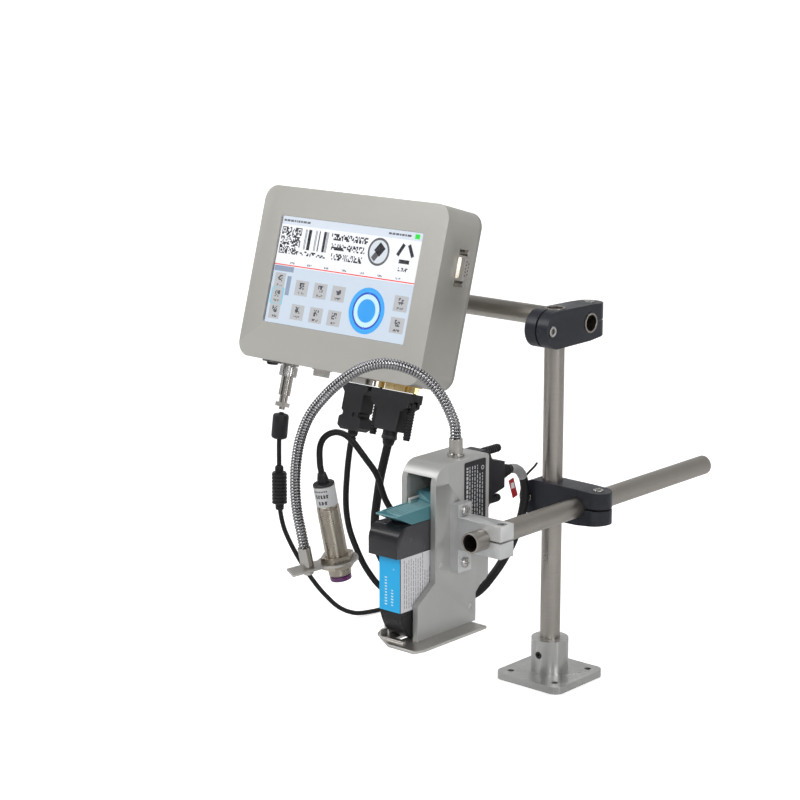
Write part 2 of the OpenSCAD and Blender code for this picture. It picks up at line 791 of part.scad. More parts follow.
module latch() {
    tip = -181.5;
    top = latch_z - 0.5;
    color("#4c8b92") difference() {
        union() {
            translate([latch_x0, 0, 0]) side_slab(latch_x1 - latch_x0) {
                polygon([
                    [tip, top - 1], [tip, top], [-140, top + 1], [-133, latch_z + 7],
                    [latch_y + 4, latch_z + 7], [latch_y + 7, latch_z + 4], [latch_y + 7, latch_z - 5],
                    [latch_y + 3, cap_top + 0.4], [-165, cap_top + 0.4]
                ]);
            }
            for (rib = [0:6])
                translate([latch_x0 + 1 + rib * 3, tip + 6, top - 0.4]) cube([1.2, 32, 1.3]);
        }
        translate([latch_x0 - 1, latch_y, latch_z]) rotate([0, 90, 0])
            cylinder(r = latch_pin_r + fit, h = head_w);
        translate([latch_x0 + 3, -147, top - 6]) cylinder(r = 1.1, h = 12);
        translate([latch_x0 + 3, -140, top + 3.6]) rotate([-90, 0, 0]) cylinder(r = 1.1, h = 11);
    }
}

module latch_pin() {
    color("silver") translate([head_x0 + 0.5, latch_y, latch_z]) rotate([0, 90, 0])
        cylinder(r = latch_pin_r, h = head_w - 1);
}

module latch_wire() {
    top = latch_z - 0.5;
    color("white") translate([latch_x0 + 3, -147, 0]) {
        translate([0, 0, top - 5]) cylinder(r = 1, h = 8.6);
        translate([0, 0, top + 3.6]) sphere(r = 1);
        translate([0, 0, top + 3.6]) rotate([-90, 0, 0]) cylinder(r = 1, h = 16);
    }
}

module cartridge_body() {
    color("#f2f2f2") translate([cartridge_x0, 0, 0]) side_slab(cartridge_w) polygon([
        [-166, line_z + 4.6], [-172, line_z + 11], [-175.5, line_z + 18], [cartridge_front, label_z0],
        [cartridge_front, label_z1], [cartridge_rear, label_z1], [cartridge_rear, line_z + 20],
        [-136, line_z + 4.6]
    ]);
}

module cartridge_cap() {
    cap_x0 = cartridge_x0 - 7;
    cap_x1 = cartridge_x1 + 0.4;
    front = cartridge_front - 4;
    r = 11;
    color("#1d1e21") {
        translate([cap_x0, 0, 0]) side_slab(cap_x1 - cap_x0) {
            translate([front, label_z1]) square([hood_front - 1 - front, cap_top - r - label_z1]);
            translate([front + r, label_z1]) square([hood_front - 1 - front - r, cap_top - label_z1]);
            translate([front + r, cap_top - r]) circle(r = r);
        }
        translate([cartridge_x0, hood_front - 1, label_z1])
            cube([cartridge_w, cartridge_rear - hood_front + 1, cap_top - label_z1]);
    }
}

// Cord and gooseneck routes: a smooth tube along hand-set points
function unit(v) = v / norm(v);
function hermite(p0, p1, m0, m1, s) =
    (2 * s * s * s - 3 * s * s + 1) * p0 + (s * s * s - 2 * s * s + s) * m0
    + (-2 * s * s * s + 3 * s * s) * p1 + (s * s * s - s * s) * m1;
function tangent(p, i) =
    i == 0 ? unit(p[1] - p[0]) : i == len(p) - 1 ? unit(p[i] - p[i - 1])
    : let (a = p[i] - p[i - 1], b = p[i + 1] - p[i]) unit(a / (a * a) + b / (b * b));
function smooth(p, steps) = concat(
    [for (i = [0:len(p) - 2]) let (span = norm(p[i + 1] - p[i])) for (k = [0:steps - 1])
        hermite(p[i], p[i + 1], span * tangent(p, i), span * tangent(p, i + 1), k / steps)],
    [p[len(p) - 1]]);
function heading(p, i) =
    unit(i == 0 ? p[1] - p[0] : i == len(p) - 1 ? p[i] - p[i - 1] : p[i + 1] - p[i - 1]);
function carried(p, i) =
    i == 0 ? unit(cross(heading(p, 0), abs(heading(p, 0)[0]) < 0.8 ? [1, 0, 0] : [0, 1, 0]))
    : let (n = carried(p, i - 1), t = heading(p, i)) unit(n - (n * t) * t);
function ring(p, i, r, sides) =
    let (t = heading(p, i), n = carried(p, i), b = cross(t, n))
    [for (k = [0:sides - 1]) p[i] + r * cos(360 * k / sides) * n + r * sin(360 * k / sides) * b];

module sweep(p, r, sides) {
    n = len(p);
    points = [for (i = [0:n - 1]) each ring(p, i, r, sides)];
    sides_of = [for (i = [0:n - 2], k = [0:sides - 1]) let (a = i * sides + k, b = i * sides + (k + 1) % sides)
        each [[a + sides, b, a], [a + sides, b + sides, b]]];
    start = [for (k = [0:sides - 1]) k];
    end = [for (k = [sides - 1:-1:0]) (n - 1) * sides + k];
    polyhedron(points = points, faces = concat([start], sides_of, [end]));
}

// Gooseneck, as distances along arm_dir and heights above the hood's top
goose_route = [
    [0, 14], [1, 24], [5, 34], [12, 46], [24, 58], [40, 65], [58, 67], [76, 62], [93, 51], [108, 37],
    [121, 20], [128.5, 2], [132.4, -18], [133.4, -38], [131.8, -58], [128.6, -73.5], [126.2, -85.3]
];

function arm_point(q) = [arm_x + arm_dir[0] * q[0], arm_y + arm_dir[1] * q[0], line_z + 133 + q[1]];

module gooseneck() {
    color("#a8a9ab") sweep(smooth([for (q = goose_route) arm_point(q)], 3), goose_d / 2, 16);
}

module at_sensor_plate() {
    translate(ferrule_end) rotate([0, -sensor_lean, plate_turn]) children();
}

module gooseneck_ferrules() {
    last = goose_route[len(goose_route) - 1];
    foot = arm_point(last);
    color("gainsboro") {
        translate([arm_x, arm_y, head_z1]) {
            cylinder(r = 6.5, h = 2.5);
            cylinder(r = ferrule_r, h = 14);
        }
        translate([arm_x, arm_y, head_z1 - top_t]) cylinder(r = 2.9, h = top_t);
        at_sensor_plate() {
            translate([0, 0, plate_th / 2]) cylinder(r = ferrule_r, h = 16.5);
            translate([0, 0, -plate_th / 2 - 4]) cylinder(r = 4, h = 4);
            translate([0, 0, -plate_th / 2]) cylinder(r = 2.5, h = plate_th);
        }
    }
}

module sensor_plate() {
    color("#b0a99c") at_sensor_plate() translate([0, 0, -plate_th / 2]) difference() {
        linear_extrude(plate_th) union() {
            translate([-15, -9]) square([sensor_pitch + 18, 18]);
            translate([sensor_pitch, 0]) circle(r = 16.5);
            translate([-15, -3]) square([4, 6]);
        }
        translate([0, 0, -1]) cylinder(r = 2.5 + fit, h = plate_th + 2);
        translate([sensor_pitch, 0, -1]) cylinder(r = sensor_r + fit, h = plate_th + 2);
    }
}

module at_sensor() {
    at_sensor_plate() translate([sensor_pitch, 0, 0]) children();
}

sensor_top = 65.5;

module sensor_barrel() {
    color("#b7a98f") at_sensor() {
        translate([0, 0, -12]) cylinder(r = sensor_r, h = 46 + 12);
        translate([0, 0, 46]) cylinder(r = sensor_r - 0.3, h = sensor_top - 48);
        translate([0, 0, sensor_top - 2]) cylinder(r = sensor_r - 1, h = 2);
        translate([0, 0, sensor_top]) cylinder(r = 4.2, h = 4);
        translate([0, 0, sensor_top + 4]) cylinder(r = 3.4, h = 4);
    }
}

module sensor_nuts() {
    color("#b7a98f") at_sensor() for (z = [plate_th / 2, -plate_th / 2 - 4])
        translate([0, 0, z]) difference() {
            cylinder(r = 13.8, h = 4, $fn = 6);
            translate([0, 0, -1]) cylinder(r = sensor_r + 0.02, h = 6);
        }
}

module sensor_lens() {
    color("#6b2b6e") at_sensor() translate([0, 0, -16]) cylinder(r = sensor_r - 0.4, h = 4);
}

// Free cords
power_route = [
    [-237.5, -62.7, 194.4], [-237.5, -63.9, 190], [-237.5, -64.9, 184], [-237.5, -65.7, 178],
    [-237.5, -66.2, 170], [-237.8, -66.2, 158], [-238, -66, 146], [-238, -66, 128], [-238, -65.5, 110],
    [-237.4, -62, 94], [-236, -55, 78], [-233.5, -46, 61], [-230.5, -35, 43], [-227, -22, 26],
    [-223, -8, 12], [-219.5, 8, 4], [-216, 25, 2], [-212.5, 43, 2], [-210.3, 60, 2]
];
head_cable_route = [
    [-116, -64.05, 192.5], [-116.2, -66.4, 184.3], [-117.5, -68.6, 174], [-120, -70.3, 160],
    [-122.8, -71, 142], [-125.5, -71, 123], [-126, -69, 104], [-121, -65, 87], [-108, -60, 74],
    [-90, -56, 67], [-70, -54, 65], [-50, -53, 68], [-34, -50, 77], [-24, -44.5, 91],
    [-18.5, -36.5, 105], [-15.8, -28.5, 119], [-15.2, -22.2, 131], [-15.2, -18.2, 141],
    [-15.2, -16.3, 148.6], [-15.2, -15.8, 155.2], [-15.2, -16.5, 161.9], [-15.2, -18.7, 168.3],
    [-15.2, -23.1, 173.8], [-15.2, -29.5, 177.1], [-15.25, -36.7, 178], [-15.25, -44.6, 178]
];
sensor_cable_route = [
    [-120.6, -138.8, 177.4], [-121.1, -139.7, 183], [-121.3, -139.8, 187], [-121.4, -139.9, 192.4],
    [-121.1, -139.6, 197.8], [-119.7, -138.2, 203.4], [-116.7, -135, 207.6], [-112.7, -130.8, 209.3],
    [-108.6, -126.6, 208], [-105.2, -123.1, 204.5], [-102.5, -120.3, 200.1], [-99.7, -117.4, 194.5],
    [-96.1, -113.7, 187.1], [-91.4, -108.8, 177.2], [-84.6, -102.5, 152], [-78, -97, 138],
    [-72.5, -89.5, 121], [-69.5, -80.5, 103], [-72, -73, 86], [-82, -70, 71.5], [-98, -71, 64],
    [-114, -74, 68], [-129, -76.5, 81.5], [-140.5, -77.5, 99], [-147.5, -77.5, 113],
    [-151.2, -77, 127], [-152.6, -76, 141], [-153.4, -74, 154], [-154.2, -71.3, 167],
    [-154.9, -68.2, 178.5], [-155, -65.9, 186.8]
];

module power_cord() {
    color("#17181a") sweep(smooth(power_route, 3), power_cord_d / 2, 8);
}

module head_cable() {
    color("#17181a") sweep(smooth(head_cable_route, 3), head_cable_d / 2, 10);
}

module sensor_cable() {
    color("#17181a") sweep(smooth(sensor_cable_route, 3), sensor_cable_d / 2, 8);
}

module power_cord_ferrites() {
    color("#1b1c1f") {
        translate([-237.5, -66.35, 172]) rotate([-7.9, 0, 0])
            tube(21.6, 6.8, 6.8 - power_cord_d / 2 - 1);
        translate([-238, -66, 115.5]) tube(27.5, 6.4, 6.4 - power_cord_d / 2 - 1);
        translate([-238, -66, 110.5]) tube(5.1, 3.6, 3.6 - power_cord_d / 2 - 1);
        translate([-238, -66, 142.9]) tube(5.5, 3.6, 3.6 - power_cord_d / 2 - 1);
    }
}

coil_place = [-183, 77];
coil_r = 22;
coil_w = 12;
coil_h = 12;

module power_cord_coil() {
    color("#17181a") translate([coil_place[0], coil_place[1], 0]) rotate_extrude()
        translate([coil_r - coil_w / 2, 0]) square([coil_w, coil_h]);
}

module power_cord_end_plug() {
    color("#1b1c1f") translate([coil_place[0] - coil_r - 4, coil_place[1] + 44, 5.5])
        rotate([-90, 0, 0]) {
            cylinder(r = 5.5, h = 22);
            translate([0, 0, 22]) cylinder(r = 2.75, h = 9.5);
        }
}

post_foot();
foot_grub_screw();
post();
upper_clamp_block();
upper_clamp_screws();
screen_rod();
rod_bracket();
rod_bracket_screws();
controller_case();
rear_cover();
rear_cover_screws();
touch_glass();
display_panel();
controller_board();
board_standoffs();
side_serial_port();
power_switch_bezel();
power_switch_rocker();
power_socket();
power_plug_body();
power_plug_nut();
usb_port();
sensor_socket();
sensor_plug();
data_socket();
data_plug();
data_plug_screw_left();
data_plug_screw_right();
lower_clamp_block();
lower_clamp_screws();
head_rod();
head_housing();
head_rear_cover();
skid_plate();
head_clamp_bracket();
bracket_screws();
info_plate();
cartridge_stall();
contact_board();
driver_board();
head_plug();
head_plug_screw_upper();
head_plug_screw_lower();
latch();
latch_pin();
latch_wire();
cartridge_body();
cartridge_cap();
gooseneck();
gooseneck_ferrules();
sensor_plate();
sensor_barrel();
sensor_nuts();
sensor_lens();
power_cord();
power_cord_ferrites();
power_cord_coil();
power_cord_end_plug();
head_cable();
sensor_cable();
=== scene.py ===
# %% [markdown]
# A small date coder for a packing line. A tube post carries two cross clamps. The upper one holds a
# touch screen controller on a cross rod, and the lower one holds the rod that a cartridge print
# head is clamped to. A gooseneck on the head carries the sensor that sees the packs arrive.
# The exact parts come from the frame. This script gives them their edges, finishes and fine
# detail, adds the pieces that are easier to make here, and lays the cables.

import json
import math
import random

import bpy
from mathutils import Matrix, Vector


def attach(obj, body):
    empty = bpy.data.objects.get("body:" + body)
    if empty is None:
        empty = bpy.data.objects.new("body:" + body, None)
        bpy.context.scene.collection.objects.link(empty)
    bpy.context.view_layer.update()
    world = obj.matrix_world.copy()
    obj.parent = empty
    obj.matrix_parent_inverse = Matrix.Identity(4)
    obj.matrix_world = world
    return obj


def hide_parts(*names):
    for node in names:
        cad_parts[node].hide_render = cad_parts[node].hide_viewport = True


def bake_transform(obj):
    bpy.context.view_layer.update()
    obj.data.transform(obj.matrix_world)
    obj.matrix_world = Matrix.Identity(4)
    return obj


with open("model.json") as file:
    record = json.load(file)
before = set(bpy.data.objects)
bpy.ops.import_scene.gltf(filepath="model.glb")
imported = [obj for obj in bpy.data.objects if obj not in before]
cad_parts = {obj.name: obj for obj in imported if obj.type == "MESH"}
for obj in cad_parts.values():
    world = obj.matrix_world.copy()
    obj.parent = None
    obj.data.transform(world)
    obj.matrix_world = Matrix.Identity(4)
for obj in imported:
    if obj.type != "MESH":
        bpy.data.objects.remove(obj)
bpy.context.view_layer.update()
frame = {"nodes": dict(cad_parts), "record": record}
bpy.ops.object.select_all(action="DESELECT")
BODY_OF = {node: body for body, members in frame["record"]["behaviour"]["bodies"].items()
           for node in members}
print("frame nodes:", len(frame["nodes"]))

# %% [markdown]
# The camera stands to the right of the operator's side and a little above the head. A long lens
# keeps the tubes nearly parallel. The numbers are in metres, in the same frame as the parts.

# %% Camera
camera_data = bpy.data.cameras.new("Camera")
camera_data.lens = 99
camera_data.sensor_width = 36
camera_data.clip_end = 20
camera = bpy.data.objects.new("Camera", camera_data)
bpy.context.scene.collection.objects.link(camera)
camera.location = (1.0203, -1.3489, 0.6128)
aim = Vector((-0.0909, -0.0796, 0.2295))
camera.rotation_euler = (aim - camera.location).to_track_quat("-Z", "Y").to_euler()
bpy.context.scene.camera = camera
print("camera distance:", round((aim - camera.location).length, 3))

# %% [markdown]
# Several pieces lean or turn with the part they sit on. A matrix for each such place lets a piece
# be built upright and then be set down. All sizes below are in millimetres and are turned into
# metres at the end, because a maker thinks of a thumb screw as 6 across and not 0.006.

# %% Places
MM = 0.001
SHRINK = Matrix.Scale(MM, 4)


def at(x, y, z):
    return Matrix.Translation((x, y, z))


def turn(degrees, axis):
    return Matrix.Rotation(math.radians(degrees), 4, axis)


BOX_HINGE = (-182.3, 32, 288)
BOX_LEAN = -16
BOX_CENTRE = (0, -84, -2)
SCREEN_FACE = (-0.2, 0, 3.2)
GLASS_DEPTH = 2.68
PLATE_FOOT = (-126.5, -149, 100.5)
BARREL_OFFSET = 25
CONTROLLER = at(*BOX_HINGE) @ turn(BOX_LEAN, "X") @ at(*BOX_CENTRE)
SCREEN = CONTROLLER @ at(*SCREEN_FACE) @ turn(90, "X")
SENSOR = at(*PLATE_FOOT) @ turn(60, "Z") @ turn(-10, "Y") @ at(BARREL_OFFSET, 0, 0)
print("sensor axis foot:", [round(v, 1) for v in SENSOR.translation])

# %% [markdown]
# Every piece goes through the same last steps: its numbers become metres, its place goes into its
# mesh, it gets a finish, and it rides on the body that carries it. Doing this in one helper means
# that no piece is left turned or scaled.

# %% Settling a piece
def take_up(piece):
    bpy.ops.object.select_all(action="DESELECT")
    bpy.context.view_layer.objects.active = piece
    piece.select_set(True)


def add_object(name, data):
    piece = bpy.data.objects.new(name, data)
    bpy.context.scene.collection.objects.link(piece)
    return piece


def settle(piece, place=None, finish=None, body=None, node=None, smooth=0):
    take_up(piece)
    if place is not None:
        piece.data.transform(SHRINK @ place)
    if smooth:
        bpy.ops.object.shade_smooth_by_angle(angle=math.radians(smooth))
    if finish is not None:
        piece.data.materials.clear()
        piece.data.materials.append(finish)
    if body is not None:
        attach(piece, body)
    if node is not None:
        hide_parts(node)
    piece.select_set(False)
    return piece


def keep_modifiers(piece):
    take_up(piece)
    for modifier in list(piece.modifiers):
        bpy.ops.object.modifier_apply(modifier=modifier.name)
    piece.select_set(False)


def empty_piece(name):
    name = name.replace(" ", "_")
    piece = add_object(name, bpy.data.meshes.new(name))
    take_up(piece)
    return piece



# %% [markdown]
# Nothing real has a perfectly even surface. Four small effects cover most of this machine: fine
# grain from blasting or a mould, long lines from drawing or brushing, soft smudges from handling,
# and a lighter tone along edges, which is rub on most parts and a painted highlight on the case's
# front edges and the hood's plates. Each is a node group, so that every finish can use it with its
# own scale and strength.

# %% Effect groups
def new_group(name, inputs, outputs):
    group = bpy.data.node_groups.new(name, "ShaderNodeTree")
    for label, value in inputs.items():
        kind = "NodeSocketVector" if isinstance(value, tuple) else "NodeSocketFloat"
        socket = group.interface.new_socket(name=label, in_out="INPUT", socket_type=kind)
        socket.default_value = value
    for label in outputs:
        group.interface.new_socket(name=label, in_out="OUTPUT", socket_type="NodeSocketFloat")
    return group, group.nodes.new("NodeGroupInput").outputs, group.nodes.new("NodeGroupOutput")


def fill_in(tree, node, **inputs):
    for label, value in inputs.items():
        socket = node.inputs[label.replace("_", " ")]
        if isinstance(value, bpy.types.NodeSocket):
            tree.links.new(value, socket)
        else:
            socket.default_value = value
    return node


def add_node(tree, kind, **inputs):
    return fill_in(tree, tree.nodes.new("ShaderNode" + kind), **inputs)


def object_place(tree):
    return add_node(tree, "TexCoord").outputs["Object"]


def remapped(tree, value, **levels):
    return add_node(tree, "MapRange", Value=value, **levels).outputs["Result"]


grain_group, entry, leave = new_group("Fine grain", {"Grains per metre": 2500.0}, ["Height", "Mask"])
fine = add_node(grain_group, "TexNoise", Vector=object_place(grain_group), Scale=entry["Grains per metre"],
                Detail=3, Roughness=0.65).outputs["Fac"]
sharp = remapped(grain_group, fine, From_Min=0.38, From_Max=0.62)
fill_in(grain_group, leave, Height=fine, Mask=sharp)

lines_group, entry, leave = new_group("Drawn lines", {"Stretch": (60.0, 60.0, 4000.0)}, ["Height", "Mask"])
stretched = add_node(lines_group, "VectorMath")
stretched.operation = "MULTIPLY"
lines_group.links.new(object_place(lines_group), stretched.inputs[0])
lines_group.links.new(entry["Stretch"], stretched.inputs[1])
streak = add_node(lines_group, "TexNoise", Vector=stretched.outputs[0], Scale=1, Detail=4,
                  Roughness=0.7).outputs["Fac"]
spread = remapped(lines_group, streak, From_Min=0.3, From_Max=0.7)
fill_in(lines_group, leave, Height=streak, Mask=spread)

marks_group, entry, leave = new_group("Handling marks", {"Marks per metre": 25.0}, ["Mask", "Specks"])
place = object_place(marks_group)
cloud = add_node(marks_group, "TexNoise", Vector=place, Scale=entry["Marks per metre"], Detail=6,
                 Roughness=0.6, Distortion=0.4).outputs["Fac"]
dots = add_node(marks_group, "TexVoronoi", Vector=place, Scale=260).outputs["Distance"]
fill_in(marks_group, leave, Mask=remapped(marks_group, cloud, From_Min=0.35, From_Max=0.68),
        Specks=remapped(marks_group, dots, From_Min=0.12, From_Max=0.06))

# Edges made lighter by pointiness: rub on most finishes, a painted highlight on the case and the hood.
edge_rub_and_highlight_group, entry, leave = new_group("Edge rub and painted highlight", {"Start": 0.53, "Full": 0.62}, ["Mask"])
pointed = add_node(edge_rub_and_highlight_group, "NewGeometry").outputs["Pointiness"]
fill_in(edge_rub_and_highlight_group, leave,
        Mask=remapped(edge_rub_and_highlight_group, pointed, From_Min=entry["Start"], From_Max=entry["Full"]))
print("effect groups:", [g.name for g in bpy.data.node_groups])

# %% [markdown]
# One recipe makes nearly all the finishes. The colour drifts a little between two close tones,
# the edges can be lighter (rub, and on the case and the hood a painted highlight), the smudges
# change the gloss, and the grain or the lines go into the bump. What differs from finish to finish
# is the numbers, which is also how it is in a workshop: the same steel is drawn for a tube and
# blasted for a case.

# %% Finish recipe
SMUDGE = 0.35
SMUDGE_TONE = 0.82


def group_node(tree, group, **values):
    node = tree.nodes.new("ShaderNodeGroup")
    node.node_tree = group
    return fill_in(tree, node, **values)


def new_material(name):
    material = bpy.data.materials.new(name)
    material.use_nodes = True
    return material, material.node_tree, material.node_tree.nodes["Principled BSDF"]


def blend_colours(tree, factor, first, second):
    mix = tree.nodes.new("ShaderNodeMix")
    mix.data_type = "RGBA"
    tree.links.new(factor, mix.inputs["Factor"])
    for socket, colour in ((mix.inputs[6], first), (mix.inputs[7], second)):
        if hasattr(colour, "is_linked"):
            tree.links.new(colour, socket)
        else:
            socket.default_value = (*colour, 1)
    return mix.outputs[2]


def scaled_mask(tree, mask, amount):
    product = tree.nodes.new("ShaderNodeMath")
    product.operation = "MULTIPLY"
    product.inputs[1].default_value = amount
    tree.links.new(mask, product.inputs[0])
    return product.outputs[0]


def add_relief(tree, shader, height, strength, depth):
    relief = add_node(tree, "Bump", Strength=strength, Distance=depth * MM, Height=height)
    fill_in(tree, shader, Normal=relief.outputs["Normal"])



def finish(name, colour, second=None, metallic=0.0, rough=(0.35, 0.5), marks=25.0, grain=2500.0,
           bump=0.15, depth=0.05, lines=None, edge=None, edge_amount=0.5, specks=0.0,
           speck=(0.6, 0.6, 0.58), coat=0.0, specular=0.5):
    material, tree, shader = new_material(name)
    fill_in(tree, shader, Metallic=metallic, Coat_Weight=coat, Coat_Roughness=0.12,
            Specular_IOR_Level=specular)
    handled = group_node(tree, marks_group, Marks_per_metre=marks)
    if lines is None:
        surface = group_node(tree, grain_group, Grains_per_metre=grain)
    else:
        surface = group_node(tree, lines_group, Stretch=lines)
    tone = blend_colours(tree, surface.outputs["Mask"], colour, second or colour)
    tone = blend_colours(tree, scaled_mask(tree, handled.outputs["Mask"], SMUDGE), tone,
                         tuple(SMUDGE_TONE * c for c in colour))
    if specks:
        tone = blend_colours(tree, scaled_mask(tree, handled.outputs["Specks"], specks), tone, speck)
    if edge is not None:
        # The edge tone is rub wear, and on the case and the hood a painted highlight.
        edge_rub_and_highlight = group_node(tree, edge_rub_and_highlight_group)
        tone = blend_colours(tree, scaled_mask(tree, edge_rub_and_highlight.outputs["Mask"], edge_amount), tone, edge)
    gloss = remapped(tree, handled.outputs["Mask"], To_Min=rough[0], To_Max=rough[1])
    fill_in(tree, shader, Base_Color=tone, Roughness=gloss)
    add_relief(tree, shader, surface.outputs["Height"], bump, depth)
    return material


# %% [markdown]
# The metals. The stand is drawn stainless tube with a warm grey tone and fine lines round it. The
# case is blasted steel, the head is anodised aluminium, and the screws, plug shells and the
# gooseneck are brightly plated. The data socket's shell is plated a yellow gold.

# %% Metals
tube_lines = {"X": (3500.0, 90.0, 90.0), "Y": (90.0, 3500.0, 90.0), "Z": (90.0, 90.0, 3500.0)}
tube_steel = {
    axis: finish("Drawn stainless tube along " + axis, (0.35, 0.325, 0.295), (0.41, 0.38, 0.345),
                 metallic=1, rough=(0.27, 0.42), marks=14, bump=0.25, depth=0.03, lines=lines,
                 edge=(0.75, 0.72, 0.68))
    for axis, lines in tube_lines.items()
}
# The near-white edge tone at full strength is a painted highlight along the case's front edges.
case_paint = finish("Blasted case metal", (0.42, 0.41, 0.375), (0.46, 0.45, 0.41), metallic=0.55,
                    rough=(0.36, 0.46), marks=9, grain=5200, bump=0.12, depth=0.03,
                    edge=(0.95, 0.94, 0.92), edge_amount=1.0)
cover_paint = finish("Rear cover metal", (0.37, 0.365, 0.34), (0.41, 0.405, 0.375), metallic=0.55,
                     rough=(0.4, 0.52), marks=12, grain=5200, depth=0.03, edge=(0.7, 0.69, 0.66))
# The light edge tone is partly bare metal on the machined edges and partly a painted highlight along the
# plates.
head_alu = finish("Anodised plate", (0.42, 0.42, 0.405), (0.47, 0.47, 0.455), metallic=0.4,
                  rough=(0.34, 0.44), marks=16, grain=6000, bump=0.12, depth=0.02,
                  edge=(0.86, 0.86, 0.86), edge_amount=0.7)
bracket_alu = finish("Milled aluminium", (0.56, 0.57, 0.57), (0.63, 0.64, 0.64), metallic=0.5,
                     rough=(0.3, 0.42), marks=20, bump=0.2, depth=0.02, lines=(200.0, 5000.0, 200.0),
                     edge=(0.9, 0.9, 0.9), edge_amount=0.7)
skid_steel = finish("Sheet steel", (0.50, 0.48, 0.45), (0.58, 0.56, 0.53), metallic=0.9,
                    rough=(0.28, 0.4), marks=22, bump=0.2, depth=0.02, lines=(4000.0, 120.0, 120.0),
                    edge=(0.85, 0.84, 0.82))
foot_alu = finish("Turned foot", (0.50, 0.50, 0.49), (0.58, 0.58, 0.57), metallic=0.9, rough=(0.26, 0.4),
                  marks=18, bump=0.25, depth=0.03, lines=(120.0, 120.0, 3600.0), edge=(0.85, 0.85, 0.84))
bright = finish("Bright plating", (0.42, 0.40, 0.37), (0.52, 0.50, 0.47), metallic=1, rough=(0.14, 0.22),
                marks=40, grain=3000, bump=0.06, depth=0.02, edge=(0.9, 0.9, 0.9))
screw_steel = finish("Screw steel", (0.50, 0.49, 0.47), (0.60, 0.59, 0.57), metallic=1, rough=(0.2, 0.38),
                     marks=160, grain=4000, bump=0.12, depth=0.02, edge=(0.85, 0.85, 0.85))
black_steel = finish("Blacked screw", (0.03, 0.03, 0.032), (0.05, 0.05, 0.052), metallic=0.6,
                     rough=(0.3, 0.45), marks=160, grain=4000, edge=(0.2, 0.2, 0.2))
chrome_ring = finish("Chromed gooseneck", (0.26, 0.26, 0.27), (0.32, 0.32, 0.33), metallic=1,
                     rough=(0.14, 0.19), marks=10, grain=3500, bump=0.03, depth=0.02,
                     edge=(0.86, 0.86, 0.87), edge_amount=0.85)
sensor_nickel = finish("Nickel plated brass", (0.44, 0.40, 0.34), (0.52, 0.47, 0.40), metallic=1,
                       rough=(0.26, 0.32), marks=30, grain=4000, bump=0.1, depth=0.02,
                       edge=(0.8, 0.74, 0.64))
gold = finish("Gold plating", (0.66, 0.48, 0.20), (0.76, 0.56, 0.25), metallic=1, rough=(0.2, 0.34),
              marks=120, grain=4000, bump=0.08, depth=0.02, edge=(0.95, 0.8, 0.5))
brass = finish("Brass", (0.55, 0.40, 0.16), (0.62, 0.46, 0.2), metallic=1, rough=(0.25, 0.4),
               marks=120, grain=4000, edge=(0.85, 0.7, 0.4))
print("metals made:", len(bpy.data.materials))

# %% [markdown]
# The plastics. Moulded parts carry a fine spark texture and their edges catch the light, dark
# ones most of all. The clamps are a blue-black nylon, the latch a teal one, and the cable jackets
# a soft black that gathers a little dust.

# %% Plastics, jackets and boards
clamp_nylon = finish("Clamp nylon", (0.016, 0.018, 0.024), (0.024, 0.026, 0.034), specular=0.26,
                     rough=(0.3, 0.42), marks=30, grain=2600, bump=0.35,
                     edge=(0.12, 0.13, 0.15), specks=0.05)
black_mould = finish("Black moulding", (0.012, 0.012, 0.014), (0.02, 0.02, 0.022), specular=0.26,
                     rough=(0.34, 0.5), marks=60, grain=3600, bump=0.4,
                     edge=(0.1, 0.1, 0.11), edge_amount=0.45, specks=0.04)
cap_gloss = finish("Cartridge cap plastic", (0.010, 0.010, 0.012), (0.014, 0.014, 0.016), specular=0.26,
                   rough=(0.18, 0.3), marks=50, grain=3000, bump=0.12, depth=0.03,
                   edge=(0.12, 0.12, 0.13), coat=0.12)
cartridge_shell = finish("Cartridge shell plastic", (0.014, 0.014, 0.016), (0.02, 0.02, 0.022),
                         specular=0.26, rough=(0.24, 0.36), marks=50, grain=3000, depth=0.03)
teal_mould = finish("Teal moulding", (0.04, 0.165, 0.20), (0.055, 0.20, 0.235), specular=0.2,
                    rough=(0.32, 0.45), marks=50, grain=3200, bump=0.25, depth=0.04,
                    edge=(0.3, 0.52, 0.55), edge_amount=0.6)
jacket = finish("Cable jacket", (0.010, 0.010, 0.011), (0.018, 0.018, 0.019), specular=0.26,
                rough=(0.36, 0.52), marks=40, grain=2200, bump=0.3,
                specks=0.1, speck=(0.2, 0.2, 0.19))
grey_mould = finish("Grey moulding", (0.19, 0.19, 0.185), (0.23, 0.23, 0.225), rough=(0.4, 0.52), marks=60,
                    grain=3600, bump=0.25, depth=0.04, edge=(0.45, 0.45, 0.44))
panel_mould = finish("Panel frame", (0.06, 0.065, 0.07), (0.08, 0.085, 0.09), rough=(0.45, 0.6), marks=40)
white_mould = finish("White wire coat", (0.62, 0.62, 0.60), (0.7, 0.7, 0.68), rough=(0.3, 0.42), marks=80)
lens_plastic = finish("Dark purple lens", (0.10, 0.008, 0.11), (0.15, 0.015, 0.16), rough=(0.12, 0.2),
                      marks=80, bump=0.03, coat=0.5)
solder_mask = finish("Solder mask", (0.01, 0.10, 0.035), (0.015, 0.14, 0.05), rough=(0.28, 0.4), marks=90,
                     grain=900, bump=0.3, specks=0.3)
contact_film = finish("Contact film", (0.42, 0.20, 0.03), (0.5, 0.26, 0.05), rough=(0.2, 0.32), marks=70,
                      grain=900, specks=0.35, speck=(0.8, 0.6, 0.25))
tape = finish("Grey tape", (0.30, 0.30, 0.30), (0.36, 0.36, 0.36), rough=(0.3, 0.45), marks=120,
              grain=900, bump=0.4, depth=0.1, edge=(0.55, 0.55, 0.55))

